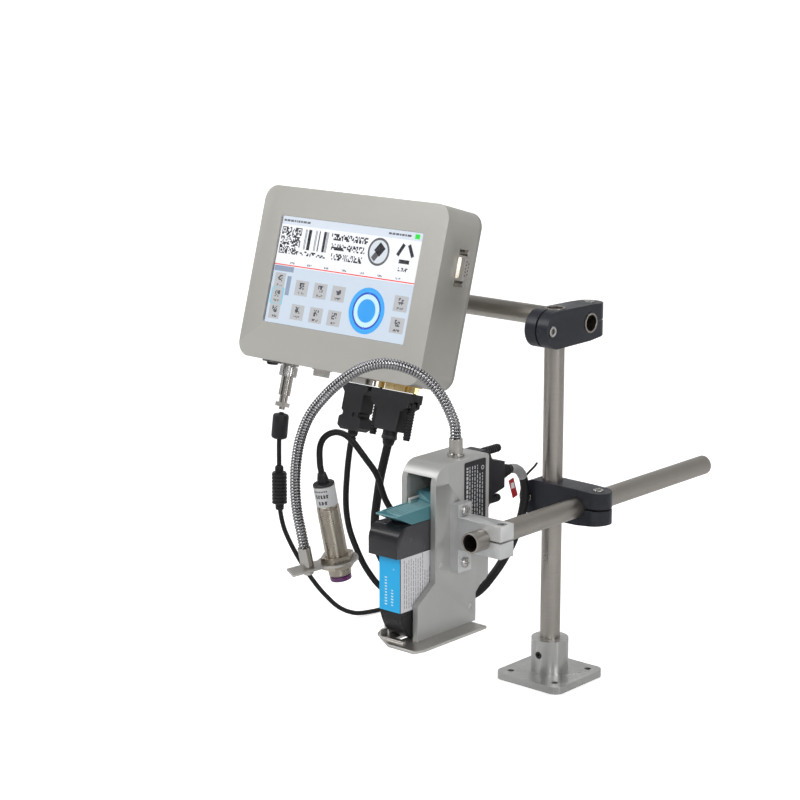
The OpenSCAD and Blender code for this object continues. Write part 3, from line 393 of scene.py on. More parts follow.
glass, glass_tree, pane = new_material("Touch glass")
wiped = group_node(glass_tree, marks_group, Marks_per_metre=18.0)
haze = remapped(glass_tree, wiped.outputs["Mask"], To_Min=0.02, To_Max=0.07)
fill_in(glass_tree, pane, Base_Color=(0.97, 0.98, 1.0, 1), Transmission_Weight=1.0, IOR=1.12, Roughness=haze)
print("finishes made:", len(bpy.data.materials))

# %% [markdown]
# Printed and lit surfaces take their colour from the mesh. Each little tile stores its own ink in
# a colour attribute called Ink. A print shows it as paint with a trace of paper grain, and the
# screen gives it off as light.

# %% Ink finishes
def ink_finish(name, glow=0.0, rough=0.4):
    material, tree, shader = new_material(name)
    fill_in(tree, shader, Roughness=rough)
    ink = tree.nodes.new("ShaderNodeAttribute")
    ink.attribute_name = "Ink"
    surface = group_node(tree, grain_group, Grains_per_metre=4000.0)
    if glow:
        fill_in(tree, shader, Base_Color=(0.01, 0.01, 0.012, 1), Emission_Color=ink.outputs["Color"],
                Emission_Strength=glow)
    else:
        paper_grain = scaled_mask(tree, surface.outputs["Mask"], 0.06)
        tone = blend_colours(tree, paper_grain, ink.outputs["Color"], (0.3, 0.3, 0.3))
        fill_in(tree, shader, Base_Color=tone)
    add_relief(tree, shader, surface.outputs["Height"], 0.1, 0.02)
    return material


print_ink = ink_finish("Printed label", rough=0.38)
screen_light = ink_finish("Lit screen", glow=1.06)
print("ink finishes ready")

# %% [markdown]
# The frame's nodes are exact, and their edges are dead sharp. A sharp edge never catches light the
# way a real one does, so each node is copied, its doubled points are merged, its flat faces are
# joined up, and a narrow bevel goes round the edges. The copy then stands in for the node.

# %% Edged copies of frame nodes
MERGE = 0.00001
SHARP = 32


def edged(node, finish, bevel):
    piece = add_object(node + "_edged", frame["nodes"][node].data.copy())
    take_up(piece)
    bpy.ops.object.mode_set(mode="EDIT")
    bpy.ops.mesh.select_all(action="SELECT")
    bpy.ops.mesh.remove_doubles(threshold=MERGE)
    bpy.ops.mesh.dissolve_limited(angle_limit=math.radians(1.0))
    bpy.ops.object.mode_set(mode="OBJECT")
    rim = piece.modifiers.new("Edges", "BEVEL")
    rim.width = bevel * MM
    rim.segments = 2
    rim.limit_method = "ANGLE"
    rim.angle_limit = math.radians(SHARP)
    rim.use_clamp_overlap = True
    keep_modifiers(piece)
    settle(piece, finish=finish, body=BODY_OF[node], node=node, smooth=38)
    flat = piece.modifiers.new("Flat faces", "WEIGHTED_NORMAL")
    flat.keep_sharp = True
    keep_modifiers(piece)
    return piece


plain_nodes = {
    "post_foot": (foot_alu, 0.8), "foot_grub_screw": (black_steel, 0.2), "post": (tube_steel["Z"], 0.3),
    "screen_rod": (tube_steel["X"], 0.3), "head_rod": (tube_steel["Y"], 0.35),
    "upper_clamp_block": (clamp_nylon, 0.9), "lower_clamp_block": (clamp_nylon, 0.9),
    "upper_clamp_screws": (screw_steel, 0.35), "lower_clamp_screws": (screw_steel, 0.35),
    "rod_bracket": (bracket_alu, 0.8), "rod_bracket_screws": (screw_steel, 0.25),
    "controller_case": (case_paint, 1.6), "rear_cover": (cover_paint, 0.5),
    "rear_cover_screws": (screw_steel, 0.2), "touch_glass": (glass, 0.15),
    "display_panel": (panel_mould, 0.4), "controller_board": (solder_mask, 0.1),
    "board_standoffs": (brass, 0.2), "side_serial_port": (bright, 0.2),
    "power_switch_bezel": (grey_mould, 0.4), "power_switch_rocker": (black_mould, 0.4),
    "power_socket": (bright, 0.3), "power_plug_nut": (bright, 0.15), "power_plug_body": (bright, 0.5),
    "usb_port": (bright, 0.2), "sensor_socket": (bright, 0.2), "data_socket": (gold, 0.3),
    "sensor_plug": (black_mould, 0.9), "data_plug": (black_mould, 0.9),
    "data_plug_screw_left": (black_mould, 0.3), "data_plug_screw_right": (black_mould, 0.3),
    "head_housing": (head_alu, 0.6), "head_rear_cover": (head_alu, 0.3), "skid_plate": (skid_steel, 0.4),
    "head_clamp_bracket": (bracket_alu, 0.5), "bracket_screws": (screw_steel, 0.25),
    "info_plate": (black_mould, 0.12), "cartridge_stall": (black_mould, 0.5),
    "contact_board": (contact_film, 0.1), "driver_board": (solder_mask, 0.1),
    "head_plug": (black_mould, 0.9), "head_plug_screw_upper": (black_mould, 0.3),
    "head_plug_screw_lower": (black_mould, 0.3), "latch": (teal_mould, 0.35), "latch_pin": (screw_steel, 0.2),
    "latch_wire": (white_mould, 0.2), "cartridge_body": (cartridge_shell, 0.8),
    "cartridge_cap": (cap_gloss, 1.1), "gooseneck_ferrules": (bright, 0.4),
    "sensor_plate": (skid_steel, 0.3), "sensor_nuts": (sensor_nickel, 0.5),
    "sensor_lens": (lens_plastic, 0.5), "power_cord_end_plug": (black_mould, 0.5),
}
edged_pieces = {node: edged(node, look, bevel) for node, (look, bevel) in plain_nodes.items()}
print("edged pieces:", len(edged_pieces))

# %% [markdown]
# Flat artwork is made of tiles. Each tile is a plane or a grid added in edit mode at its place and
# then sized, and a list keeps the ink of every new face. At the end the sheet is given a hair of
# thickness, the inks are written to the Ink attribute, and the sheet is set down on its part.

# %% Tile sheets
def write_inks(piece, inks):
    colours = []
    for polygon, ink in zip(piece.data.polygons, inks):
        colours += [*ink, 1.0] * polygon.loop_total
    store = piece.data.color_attributes.new("Ink", "FLOAT_COLOR", "CORNER")
    store.data.foreach_set("color", colours)


class Sheet:
    def __init__(self, name):
        self.piece = empty_piece(name)
        self.inks = []
        bpy.ops.object.mode_set(mode="EDIT")

    def tile(self, x, y, width, height, ink, layer, turned=0):
        bpy.ops.mesh.select_all(action="DESELECT")
        bpy.ops.mesh.primitive_plane_add(size=1, location=(x, y, layer))
        bpy.ops.transform.resize(value=(width, height, 1), center_override=(x, y, layer))
        if turned:
            bpy.ops.transform.rotate(value=math.radians(turned), orient_axis="Z",
                                     center_override=(x, y, layer))
        self.inks.append(ink)

    def disc(self, x, y, radius, ink, layer, sides=40):
        bpy.ops.mesh.select_all(action="DESELECT")
        bpy.ops.mesh.primitive_circle_add(vertices=sides, radius=radius, fill_type="NGON",
                                          location=(x, y, layer))
        self.inks.append(ink)

    def cells(self, x, y, width, height, across, down, choose, layer):
        bpy.ops.mesh.select_all(action="DESELECT")
        bpy.ops.mesh.primitive_grid_add(x_subdivisions=across, y_subdivisions=down, size=1,
                                        location=(x, y, layer))
        bpy.ops.transform.resize(value=(width, height, 1), center_override=(x, y, layer))
        self.inks += [choose(k % across, k // across) for k in range(across * down)]

    def lay(self, place, finish, body, thickness, roll=None):
        bpy.ops.object.mode_set(mode="OBJECT")
        write_inks(self.piece, self.inks)
        if roll is not None:
            for vertex in self.piece.data.vertices:
                vertex.co = roll(vertex.co)
        skin = self.piece.modifiers.new("Skin", "SOLIDIFY")
        skin.thickness = thickness
        skin.offset = -1
        keep_modifiers(self.piece)
        return settle(self.piece, place=place, finish=finish, body=body)


dice = random.Random(12)
STROKE = 0.55


def speckled(dark, light, share=0.5):
    return lambda column, row: dark if dice.random() < share else light


def rows_of_words(sheet, x0, y0, width, height, rows, ink, layer):
    pitch = height / rows
    for row in range(rows):
        y = y0 - (row + 0.5) * pitch
        x = x0
        while x < x0 + width - 1.5:
            length = min(dice.uniform(1.2, 4.5), x0 + width - x)
            sheet.tile(x + length / 2, y, length, pitch * STROKE, ink, layer)
            x += length + 0.7


# %% [markdown]
# The screen shows the job that is being printed: a white preview with a matrix of dots, a bar
# pattern and lines of marks, a ruler with a red line, and under it the buttons and a round blue
# pad. None of it spells anything. Places on it are shares of its width from the left and of its
# height from the top.

# %% Screen picture
WHITE = (0.93, 0.94, 0.95)
PALE = (0.62, 0.70, 0.79)
KEY = (0.50, 0.505, 0.51)
RULER = (0.70, 0.74, 0.78)
SHADE = (0.27, 0.34, 0.46)
INKY = (0.015, 0.015, 0.018)
picture = Sheet("Screen picture")
WINDOW_WIDE, WINDOW_TALL = 156, 90


def spot(across, below):
    return -WINDOW_WIDE / 2 + WINDOW_WIDE * across, WINDOW_TALL / 2 - WINDOW_TALL * below


picture.tile(0, 0, WINDOW_WIDE, WINDOW_TALL, PALE, 0)
picture.tile(*spot(0.5, 0.245), WINDOW_WIDE, WINDOW_TALL * 0.34, WHITE, 0.04)
picture.tile(*spot(0.5, 0.0375), WINDOW_WIDE, WINDOW_TALL * 0.075, (0.70, 0.76, 0.83), 0.04)
rows_of_words(picture, *spot(0.012, 0.02), 30, 3.2, 1, (0.12, 0.13, 0.15), 0.08)
rows_of_words(picture, *spot(0.76, 0.02), 24, 3.0, 1, (0.1, 0.1, 0.12), 0.08)
picture.tile(*spot(0.955, 0.037), 5, 4, (0.02, 0.75, 0.04), 0.08)
code_x, code_y = spot(0.083, 0.222)
picture.cells(code_x, code_y, 22.5, 22.5, 21, 21, speckled(INKY, WHITE), 0.08)
for cx, cy in ((-1, 1), (1, 1), (-1, -1)):
    x, y = code_x + cx * 8.6, code_y + cy * 8.6
    for size, ink, layer in ((5.3, INKY, 0.1), (3.6, WHITE, 0.11), (2.0, INKY, 0.12)):
        picture.tile(x, y, size, size, ink, layer)
picture.cells(*spot(0.262, 0.195), 27, 17, 47, 1, speckled(INKY, WHITE, 0.52), 0.08)
picture.cells(*spot(0.262, 0.325), 30, 3.6, 24, 3, speckled(INKY, WHITE, 0.42), 0.08)
for row, share in enumerate((0.135, 0.225, 0.315)):
    picture.cells(*spot(0.50, share), 40 - 3 * row, 5.4, 34, 4, speckled(INKY, WHITE, 0.5), 0.08)
x, y = spot(0.713, 0.215)
picture.disc(x, y, 11.5, INKY, 0.08)
picture.disc(x, y, 9.6, WHITE, 0.10)
picture.tile(x + 1, y + 2, 8, 9, INKY, 0.11, 38)
picture.tile(x - 3, y - 4, 5, 7, INKY, 0.11, 38)
emblem_x, emblem_y = spot(0.895, 0.205)
for k in range(3):
    spin = math.radians(-90 + 120 * k)
    x, y = emblem_x + 6.2 * math.cos(spin), emblem_y + 6.2 * math.sin(spin)
    picture.tile(x, y, 11, 3.2, INKY, 0.08, -120 * k)
picture.cells(*spot(0.895, 0.345), 10, 3, 9, 3, speckled(INKY, WHITE, 0.45), 0.08)
picture.tile(*spot(0.5, 0.44), WINDOW_WIDE, WINDOW_TALL * 0.05, RULER, 0.05)
for k in range(1, 8):
    picture.cells(*spot(0.125 * k, 0.428), 5, 1.6, 7, 2,
                  speckled((0.1, 0.1, 0.1), RULER, 0.5), 0.08)
picture.tile(*spot(0.5, 0.452), WINDOW_WIDE, 0.9, (0.85, 0.01, 0.02), 0.09)
picture.tile(*spot(0.075, 0.488), 22, 4.6, SHADE, 0.08)
picture.tile(*spot(0.125, 0.64), 4.6, 16, SHADE, 0.08)
keys = [(0.058, 0.60), (0.058, 0.745), (0.058, 0.89)]
keys += [(u, v) for v in (0.645, 0.87) for u in (0.225, 0.36, 0.49)]
keys += [(0.925, 0.645), (0.925, 0.84)]
for number, (u, v) in enumerate(keys):
    x, y = spot(u, v)
    wide = 12 if number < 3 else 14.5
    if number == 1:
        picture.tile(x, y, wide + 1.8, 14.4, (0.05, 0.62, 0.85), 0.06)
    picture.tile(x, y, wide, 12.8, KEY, 0.08)
    picture.cells(x, y + 1.8, 5.4, 5.4, 5, 5, speckled((0.06, 0.06, 0.07), KEY, 0.55), 0.1)
    picture.cells(x, y - 4.0, 6.6, 1.8, 8, 2, speckled((0.1, 0.1, 0.11), KEY, 0.5), 0.1)
DIAL = spot(0.705, 0.755)
for step in range(10):
    share = step / 9
    ink = (0.0 + 0.05 * share, 0.24 + 0.2 * share, 0.80 + 0.12 * share)
    picture.disc(*DIAL, 19 - 0.9 * step, ink, 0.08 + 0.012 * step, 56)
picture.disc(*DIAL, 9.6, (0.03, 0.12, 0.80), 0.205, 40)
picture.tile(*DIAL, 0.6, 18.6, (0.01, 0.04, 0.3), 0.22)
for k in range(4):
    spin = math.radians(90 * k)
    x, y = DIAL[0] + 14 * math.cos(spin), DIAL[1] + 14 * math.sin(spin)
    picture.tile(x, y, 1.6, 1.6, (0.6, 0.85, 1), 0.22, 45)
picture.lay(SCREEN @ at(0, 0, -GLASS_DEPTH), screen_light, "controller", 0.01)
print("screen tiles:", len(picture.inks))

# %% [markdown]
# The cartridge wears a blue label down its front and a white one with fine print on its side, and
# the hood has a black data plate. The print is only rows of short strokes. Each label is set a
# few hundredths above its part, so the two surfaces never fight for the same place.

# %% Labels
LEFT_FACE = Matrix(((0, 0, 1, 0), (1, 0, 0, 0), (0, 1, 0, 0), (0, 0, 0, 1)))
FRONT_FACE = Matrix(((1, 0, 0, 0), (0, 0, -1, 0), (0, 1, 0, 0), (0, 0, 0, 1)))
blue_label = Sheet("Blue front label")
blue_label.tile(0, 0, 20.4, 42, (0.0, 0.48, 0.95), 0)
for column, length in ((-3.6, 24), (2.6, 15)):
    for k in range(int(length / 2.3)):
        blue_label.tile(column, -16 + 2.3 * k, dice.uniform(1.4, 2.4), 1.2, (0.55, 0.85, 0.98), 0.03)
blue_label.tile(4, 12, 1.4, 1.4, (0.25, 0.65, 0.93), 0.03, 45)
blue_label.lay(at(-15, -178.08, 117.5) @ FRONT_FACE, print_ink, "cartridge", 0.06)

side_label = Sheet("White side label")
PAPER = (0.72, 0.72, 0.74)
side_label.tile(0, 0, 48, 42, PAPER, 0)
for column in range(12):
    x = -20 + 2.6 * column
    y = -18.5
    while y < (17 if column < 9 else 4):
        length = dice.uniform(1.5, 5)
        side_label.tile(x, y + length / 2, 0.55, length, (0.16, 0.16, 0.19), 0.03)
        y += length + 0.7
for x, y in ((14, 12), (14, -2)):
    side_label.tile(x, y, 6.4, 6.4, (0.1, 0.1, 0.12), 0.03, 45)
    side_label.tile(x, y, 5, 5, PAPER, 0.05, 45)
    side_label.tile(x, y, 1.1, 3, (0.1, 0.1, 0.12), 0.07)
side_label.lay(at(-4.44, -153.5, 117.5) @ LEFT_FACE, print_ink, "cartridge", 0.06)

plate_print = Sheet("Data plate print")
for column in range(7):
    x = -9.6 + 3.0 * column
    y = 22 if column < 5 else 15
    while y > -22 + 3 * (column % 3):
        length = dice.uniform(1.0, 3.2)
        plate_print.tile(x, y - length / 2, 1.0 if column else 2.2, length, (0.55, 0.56, 0.58), 0)
        y -= length + 0.9
plate_print.disc(8.6, 19, 1.7, (0.6, 0.6, 0.62), 0)
plate_print.disc(8.6, 19, 1.1, (0.02, 0.02, 0.02), 0.02)
plate_print.lay(at(2.04, -99, 174) @ LEFT_FACE, print_ink, "head", 0.02)
print("labels laid")

# %% [markdown]
# Turned parts, such as the sensor's threaded barrel and the ribbed sleeves that guard the cables,
# are one profile swept round an axis. The profile is a short list of radius and height, the spin
# tool carries it round, and the doubled seam is merged so that the skin is closed.

# %% Turned parts
def turned(name, profile, place, finish, body, node=None, steps=48):
    piece = empty_piece(name)
    edges = [(k, k + 1) for k in range(len(profile) - 1)]
    piece.data.from_pydata([(r, 0, z) for r, z in profile], edges, [])
    bpy.ops.object.mode_set(mode="EDIT")
    bpy.ops.mesh.select_all(action="SELECT")
    bpy.ops.mesh.spin(steps=steps, angle=2 * math.pi, center=(0, 0, 0), axis=(0, 0, 1))
    bpy.ops.mesh.select_all(action="SELECT")
    bpy.ops.mesh.remove_doubles(threshold=0.001)
    bpy.ops.mesh.normals_make_consistent(inside=False)
    bpy.ops.object.mode_set(mode="OBJECT")
    return settle(piece, place=place, finish=finish, body=body, node=node, smooth=30)


def threads(radius, low, high, pitch, deep):
    profile = []
    z = low
    while z < high - pitch:
        profile += [(radius - deep, z), (radius, z + 0.4 * pitch), (radius, z + 0.6 * pitch)]
        z += pitch
    return profile + [(radius - deep, z), (radius - deep, high)]


barrel = [(0, -12), (7.6, -12), (8.4, -11.6)] + threads(9, -11.2, 45.4, 0.9, 0.14)
barrel += [(8.7, 45.8), (8.7, 46.5), (8.45, 46.7), (8.45, 63.2), (8.2, 63.4), (0, 63.4)]
turned("Threaded sensor barrel", barrel, SENSOR, sensor_nickel, "sensor_arm", "sensor_barrel", steps=56)
gland = [(0, 63.2), (8.6, 63.2), (8.6, 64.6), (7.9, 65.3), (4.6, 65.5), (4.3, 69), (3.3, 73.1), (0, 73.1)]
turned("Sensor cable gland", gland, SENSOR, black_mould, "sensor_arm")
print("barrel profile points:", len(barrel))

# %% [markdown]
# The sensor's sleeve is white with rows of fine marks. It is a band rolled round the barrel, and
# the tiles of its print are small enough to lie flat on it.

# %% Sensor sleeve
SLEEVE_RADIUS = 8.66
SLEEVE_TURN = math.radians(62)
SLEEVE_INK = (0.05, 0.05, 0.06)
band = turned("Sensor sleeve", [(8.46, 47), (8.62, 47.2), (8.62, 62.6), (8.46, 62.8)], SENSOR, None,
              "sensor_arm")
band.data.materials.append(print_ink)
write_inks(band, [(0.66, 0.67, 0.68)] * len(band.data.polygons))


def round_sleeve(flat):
    around = flat.x / SLEEVE_RADIUS - SLEEVE_TURN
    return SLEEVE_RADIUS * math.sin(around), -SLEEVE_RADIUS * math.cos(around), flat.y


marks = Sheet("Sensor sleeve marks")
for low, tall, wide, first, last in ((59.4, 1.2, 0.8, -3, 9), (54.4, 3.0, 1.3, -1, 9), (49.2, 2.8, 1.5, 1, 7),
                                     (50, 8, 0.8, -13, -11), (49, 11, 0.6, -8, -7)):
    x = first
    while x < last:
        marks.tile(x, low + tall / 2, wide, tall, SLEEVE_INK, 0)
        marks.tile(x + 0.6 * wide, low + tall * dice.choice((0.15, 0.5, 0.85)), 0.7 * wide, 0.2 * tall,
                   SLEEVE_INK, 0.01)
        x += 1.75 * wide
marks.lay(SENSOR, print_ink, "sensor_arm", 0.02, roll=round_sleeve)
print("sleeve marks:", len(marks.inks))

# %% [markdown]
# Cables and the gooseneck follow listed points. A smooth curve goes through the points, and a
# ring is carried along it without twisting. The radius may change along the way, which gives the
# gooseneck its turns. UVs run along the tube and around it.

# %% Routes and swept tubes
def smooth_route(points, step=2.0):
    points = [Vector(p) for p in points]
    headings = [(points[1] - points[0]).normalized()]
    for k in range(1, len(points) - 1):
        before, after = points[k] - points[k - 1], points[k + 1] - points[k]
        headings.append((before / before.length_squared + after / after.length_squared).normalized())
    headings.append((points[-1] - points[-2]).normalized())
    line = []
    for k in range(len(points) - 1):
        span = (points[k + 1] - points[k]).length
        count = max(2, round(span / step))
        for i in range(count):
            s = i / count
            line.append((2 * s**3 - 3 * s**2 + 1) * points[k] + (s**3 - 2 * s**2 + s) * span * headings[k]
                        + (-2 * s**3 + 3 * s**2) * points[k + 1] + (s**3 - s**2) * span * headings[k + 1])
    return line + [points[-1]]


def route_length(line):
    return sum((b - a).length for a, b in zip(line, line[1:]))


def swept(name, line, radius, finish, sides, start_normal=None):
    piece = empty_piece(name)
    size = radius if callable(radius) else (lambda s: radius)
    vertices, faces, coordinates = [], [], []
    travelled = 0.0
    normal = start_normal
    for k, point in enumerate(line):
        heading = (line[min(k + 1, len(line) - 1)] - line[max(k - 1, 0)]).normalized()
        if normal is None:
            normal = heading.cross(Vector((1, 0, 0)) if abs(heading.x) < 0.8 else Vector((0, 1, 0)))
        normal = (normal - normal.dot(heading) * heading).normalized()
        other = heading.cross(normal)
        if k:
            travelled += (point - line[k - 1]).length
        r = size(travelled)
        for i in range(sides):
            around = 2 * math.pi * i / sides
            vertices.append(point + r * (math.cos(around) * normal + math.sin(around) * other))
        coordinates.append(travelled)
    for k in range(len(line) - 1):
        for i in range(sides):
            a, b = k * sides + i, k * sides + (i + 1) % sides
            faces.append((a, b, b + sides, a + sides))
    faces.append(tuple(range(sides - 1, -1, -1)))
    faces.append(tuple(range((len(line) - 1) * sides, len(line) * sides)))
    piece.data.from_pydata(vertices, [], faces)
    layer = piece.data.uv_layers.new(name="Along")
    for face in piece.data.polygons[:-2]:
        k, i = divmod(face.index, sides)
        for loop, (dk, di) in zip(face.loop_indices, ((0, 0), (0, 1), (1, 1), (1, 0))):
            layer.data[loop].uv = (coordinates[k + dk] * MM, (i + di) / sides)
    return settle(piece, place=Matrix.Identity(4), finish=finish, smooth=50), normal


# %% [markdown]
# The gooseneck is a flexible metal hose that stays where it is bent. Its skin is a row of small
# rounded turns, and they catch the light one by one. It rises from the hood, arches to the left
# and comes down to the sensor's plate.

# %% Gooseneck
goose_points = [(0, 14), (1, 24), (5, 34), (12, 46), (24, 58), (40, 65), (58, 67), (76, 62), (93, 51),
                (108, 37), (121, 20), (128.5, 2), (132.4, -18), (133.4, -38), (131.8, -58),
                (128.6, -73.5), (126.2, -85.3)]
goose_line = smooth_route([(-10 - 0.942 * q, -108 - 0.336 * q, 203 + h) for q, h in goose_points], 0.3)
PITCH = 2.4


def goose_radius(s):
    return 3.4 + 0.95 * abs(math.sin(math.pi * s / PITCH)) ** 0.8


gooseneck, _ = swept("Corrugated gooseneck", goose_line, goose_radius, chrome_ring, sides=20)
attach(gooseneck, "sensor_arm")
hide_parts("gooseneck")
print("gooseneck length mm:", round(route_length(goose_line)))

# %% [markdown]
# Each cable is one fixed length that starts and ends in its plugs. Where it passes from one moving
# part to the next it has to bend, so it is cut into sections that meet end to end. The radius is
# the same on both sides of a cut, so no cut shows.

# %% Cable sections
def cut_route(line, cuts):
    parts, start = [], 0
    travelled = 0.0
    ends = list(cuts)
    for k in range(1, len(line)):
        travelled += (line[k] - line[k - 1]).length
        if ends and travelled >= ends[0]:
            parts.append(line[start:k + 1])
            start = k
            ends.pop(0)
    return parts + [line[start:]]


def lay_cable(name, line, radius, bodies, cuts, node, sides=16):
    parts = cut_route(line, cuts)
    pieces, normal = [], None
    for number, part in enumerate(parts):
        piece, normal = swept(name + " section " + str(number + 1), part, radius, jacket, sides, normal)
        if number < len(bodies) - 1:
            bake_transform(piece)
        else:
            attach(piece, bodies[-1])
        pieces.append(piece)
    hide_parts(node)
    print(name, "length mm:", round(route_length(line)), "in", len(parts), "sections")
    return pieces


# %% [markdown]
# The head cable is the thick one. It leaves the data plug, hangs behind the sensor, passes under
# and behind the head in a slack bight, and climbs to the plug on the hood's back.

# %% Head cable
head_points = [
    (-116, -64.05, 192.5), (-116.2, -66.4, 184.3), (-117.5, -68.6, 174), (-120, -70.3, 160),
    (-122.8, -71, 142), (-125.5, -71, 123), (-126, -69, 104), (-121, -65, 87), (-108, -60, 74),
    (-90, -56, 67), (-70, -54, 65), (-50, -53, 68), (-34, -50, 77), (-24, -44.5, 91),
    (-18.5, -36.5, 105), (-15.8, -28.5, 119), (-15.2, -22.2, 131), (-15.2, -18.2, 141),
    (-15.2, -16.3, 148.6), (-15.2, -15.8, 155.2), (-15.2, -16.5, 161.9), (-15.2, -18.7, 168.3),
    (-15.2, -23.1, 173.8), (-15.2, -29.5, 177.1), (-15.25, -36.7, 178), (-15.25, -44.6, 178)]
head_line = smooth_route(head_points)
head_cable = lay_cable("Head cable", head_line, 3.5, ["controller", "upper_clamp", "stand", "lower_clamp",
                       "head_arm", "head"], [65, 130, 195, 260], "head_cable")

# %% [markdown]
# The sensor cable is thinner. It leaves the top of the sensor, arches over, dips behind the head
# and comes back up to the small plug under the controller.

# %% Sensor cable
sensor_points = [
    (-120.6, -138.8, 177.4), (-121.1, -139.7, 183), (-121.3, -139.8, 187), (-121.4, -139.9, 192.4),
    (-121.1, -139.6, 197.8), (-119.7, -138.2, 203.4), (-116.7, -135, 207.6), (-112.7, -130.8, 209.3),
    (-108.6, -126.6, 208), (-105.2, -123.1, 204.5), (-102.5, -120.3, 200.1), (-99.7, -117.4, 194.5),
    (-96.1, -113.7, 187.1), (-91.4, -108.8, 177.2), (-84.6, -102.5, 152), (-78, -97, 138),
    (-72.5, -89.5, 121), (-69.5, -80.5, 103), (-72, -73, 86), (-82, -70, 71.5), (-98, -71, 64),
    (-114, -74, 68), (-129, -76.5, 81.5), (-140.5, -77.5, 99), (-147.5, -77.5, 113), (-151.2, -77, 127),
    (-152.6, -76, 141), (-153.4, -74, 154), (-154.2, -71.3, 167), (-154.9, -68.2, 178.5),
    (-155, -65.9, 186.8)]
sensor_line = smooth_route(sensor_points)
sensor_cable = lay_cable("Sensor cable", sensor_line, 2.5, ["sensor_arm", "head", "head_arm", "lower_clamp",
                         "stand", "upper_clamp", "controller"], [62, 125, 188, 252, 316], "sensor_cable",
                         sides=14)

# %% [markdown]
# The power lead hangs from its round plug through two ferrites, reaches the bench, and its spare
# length is wound in a neat coil with the plug beside it. The coil has seven places for its turns,
# three across and up to three high. A turn takes a little under a full circle, so that each step
# from one place to the next falls beside the last step and never on it.

# %% Power lead
LEAD_CUTS = [82, 172]
WOUND = 6 * 360
STEP_OVER = 36
power_points = [
    (-237.5, -62.7, 194.4), (-237.5, -63.9, 190), (-237.5, -64.9, 184), (-237.5, -65.7, 178),
    (-237.5, -66.2, 170), (-237.8, -66.2, 158), (-238, -66, 146), (-238, -66, 128), (-238, -65.5, 110),
    (-237.4, -62, 94), (-236, -55, 78), (-233.5, -46, 61), (-230.5, -35, 43), (-227, -22, 26),
    (-223, -8, 12), (-219.5, 8, 4), (-216, 25, 2), (-212.5, 43, 2), (-210.3, 60, 2), (-209, 77, 2)]
COIL = Vector((-183, 77, 0))
places = [(26, 2), (22, 2), (18, 2), (18, 6), (22, 6), (26, 6), (26, 10)]
share_of_turn = WOUND / len(places)


def coil_point(degrees):
    number = min(int(degrees / share_of_turn), len(places) - 1)
    r, z = places[number]
    left = (number + 1) * share_of_turn - degrees
    if left < STEP_OVER and number < len(places) - 1:
        s = 1 - left / STEP_OVER
        s = s * s * (3 - 2 * s)
        r, z = (a + s * (b - a) for a, b in zip(places[number], places[number + 1]))
    spin = math.radians(180 - degrees)
    return COIL + Vector((r * math.cos(spin), r * math.sin(spin), z))


power_line = smooth_route(power_points)
wound = [coil_point(d) for d in range(8, WOUND + 1, 8)]
tail = smooth_route([wound[-1], (-209, 88, 9.2), (-209, 101, 7.2), (-209, 112, 5.8), (-209, 121, 5.5)])
power_line = power_line + wound + tail[1:]
power_cord = lay_cable("Power lead", power_line, 2.0, ["controller", "upper_clamp", "stand"], LEAD_CUTS,
                       "power_cord", sides=12)
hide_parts("power_cord_coil")

# %% [markdown]
# Two ferrites are moulded on the power lead: a smooth one high up and a ribbed one below.

# %% Ferrites
shell = [(2.2, 0), (4.6, 0), (6.2, 0.9), (6.8, 2.4), (6.8, 19), (6.2, 20.8), (4.2, 21.6), (2.2, 21.6)]
smooth_ferrite = turned("Smooth ferrite", shell, at(-237.5, -66.35, 172) @ turn(-7.9, "X"), black_mould, None)
ribs = [(2.2, 110.5), (3.3, 110.5), (3.6, 112), (3.6, 115.2), (4.8, 115.6)]
for k in range(9):
    z = 116.2 + 3.0 * k
    ribs += [(6.4, z), (6.4, z + 1.5), (5.8, z + 1.8), (5.8, z + 2.7)]
ribs += [(4.8, 143), (3.6, 143.4), (3.6, 147.2), (3.0, 148.4), (2.2, 148.4)]
ribbed_ferrite = turned("Ribbed ferrite", ribs, at(-238, -66, 0), black_mould, None)
first = cut_route(power_line, LEAD_CUTS)[0]
for ferrite in (smooth_ferrite, ribbed_ferrite):
    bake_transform(ferrite)
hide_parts("power_cord_ferrites")
print("ferrites on the lead: 2")

# %% [markdown]
# A ribbed sleeve guards a cable where it enters its plug. It is one turned profile whose ribs get
# smaller towards the cable, and the head plug and the sensor plug each have one in their own
# size. The data plug has a plain collar.

# %% Strain reliefs
def pointing(foot, heading):
    lean = Vector((0, 0, 1)).rotation_difference(Vector(heading))
    return at(*foot) @ lean.to_matrix().to_4x4()


def sleeve(name, foot, heading, radius, cable, length, body):
    profile = [(cable, 0), (radius, 0), (radius, 1.5)]
    count = int(length / 3)
    for k in range(1, count):
        r = radius + (cable + 0.7 - radius) * k / count
        z = 3 * k
        profile += [(r - 0.7, z - 1.2), (r - 0.7, z - 0.4), (r, z), (r, z + 1.2)]
    profile += [(cable + 0.3, length), (cable, length)]
    return turned(name, profile, pointing(foot, heading), black_mould, body, steps=32)


down = CONTROLLER.to_3x3() @ Vector((0, 0, -1))
sleeve("Head plug sleeve", (-15.25, -46, 178), (0, 1, 0), 5.6, 3.3, 10, "head")
sleeve("Sensor plug sleeve", CONTROLLER @ Vector((27.3, 18, -119.5)), down, 4.0, 2.3, 7, "controller")
turned("Data plug collar", [(3.3, 0), (6.4, 0), (6.4, 2.6), (5.2, 3.2), (4.6, 6.5), (3.7, 8), (3.3, 8)],
       pointing(CONTROLLER @ Vector((66.3, 18, -115)), down), black_mould, "controller", steps=32)
print("sleeves set")

# %% [markdown]
# Small things that a technician adds: a wrap of grey tape and a cable tie at the head cable's
# bend, with a red tag under it. The tape and the tie are swept along the cable's own route.

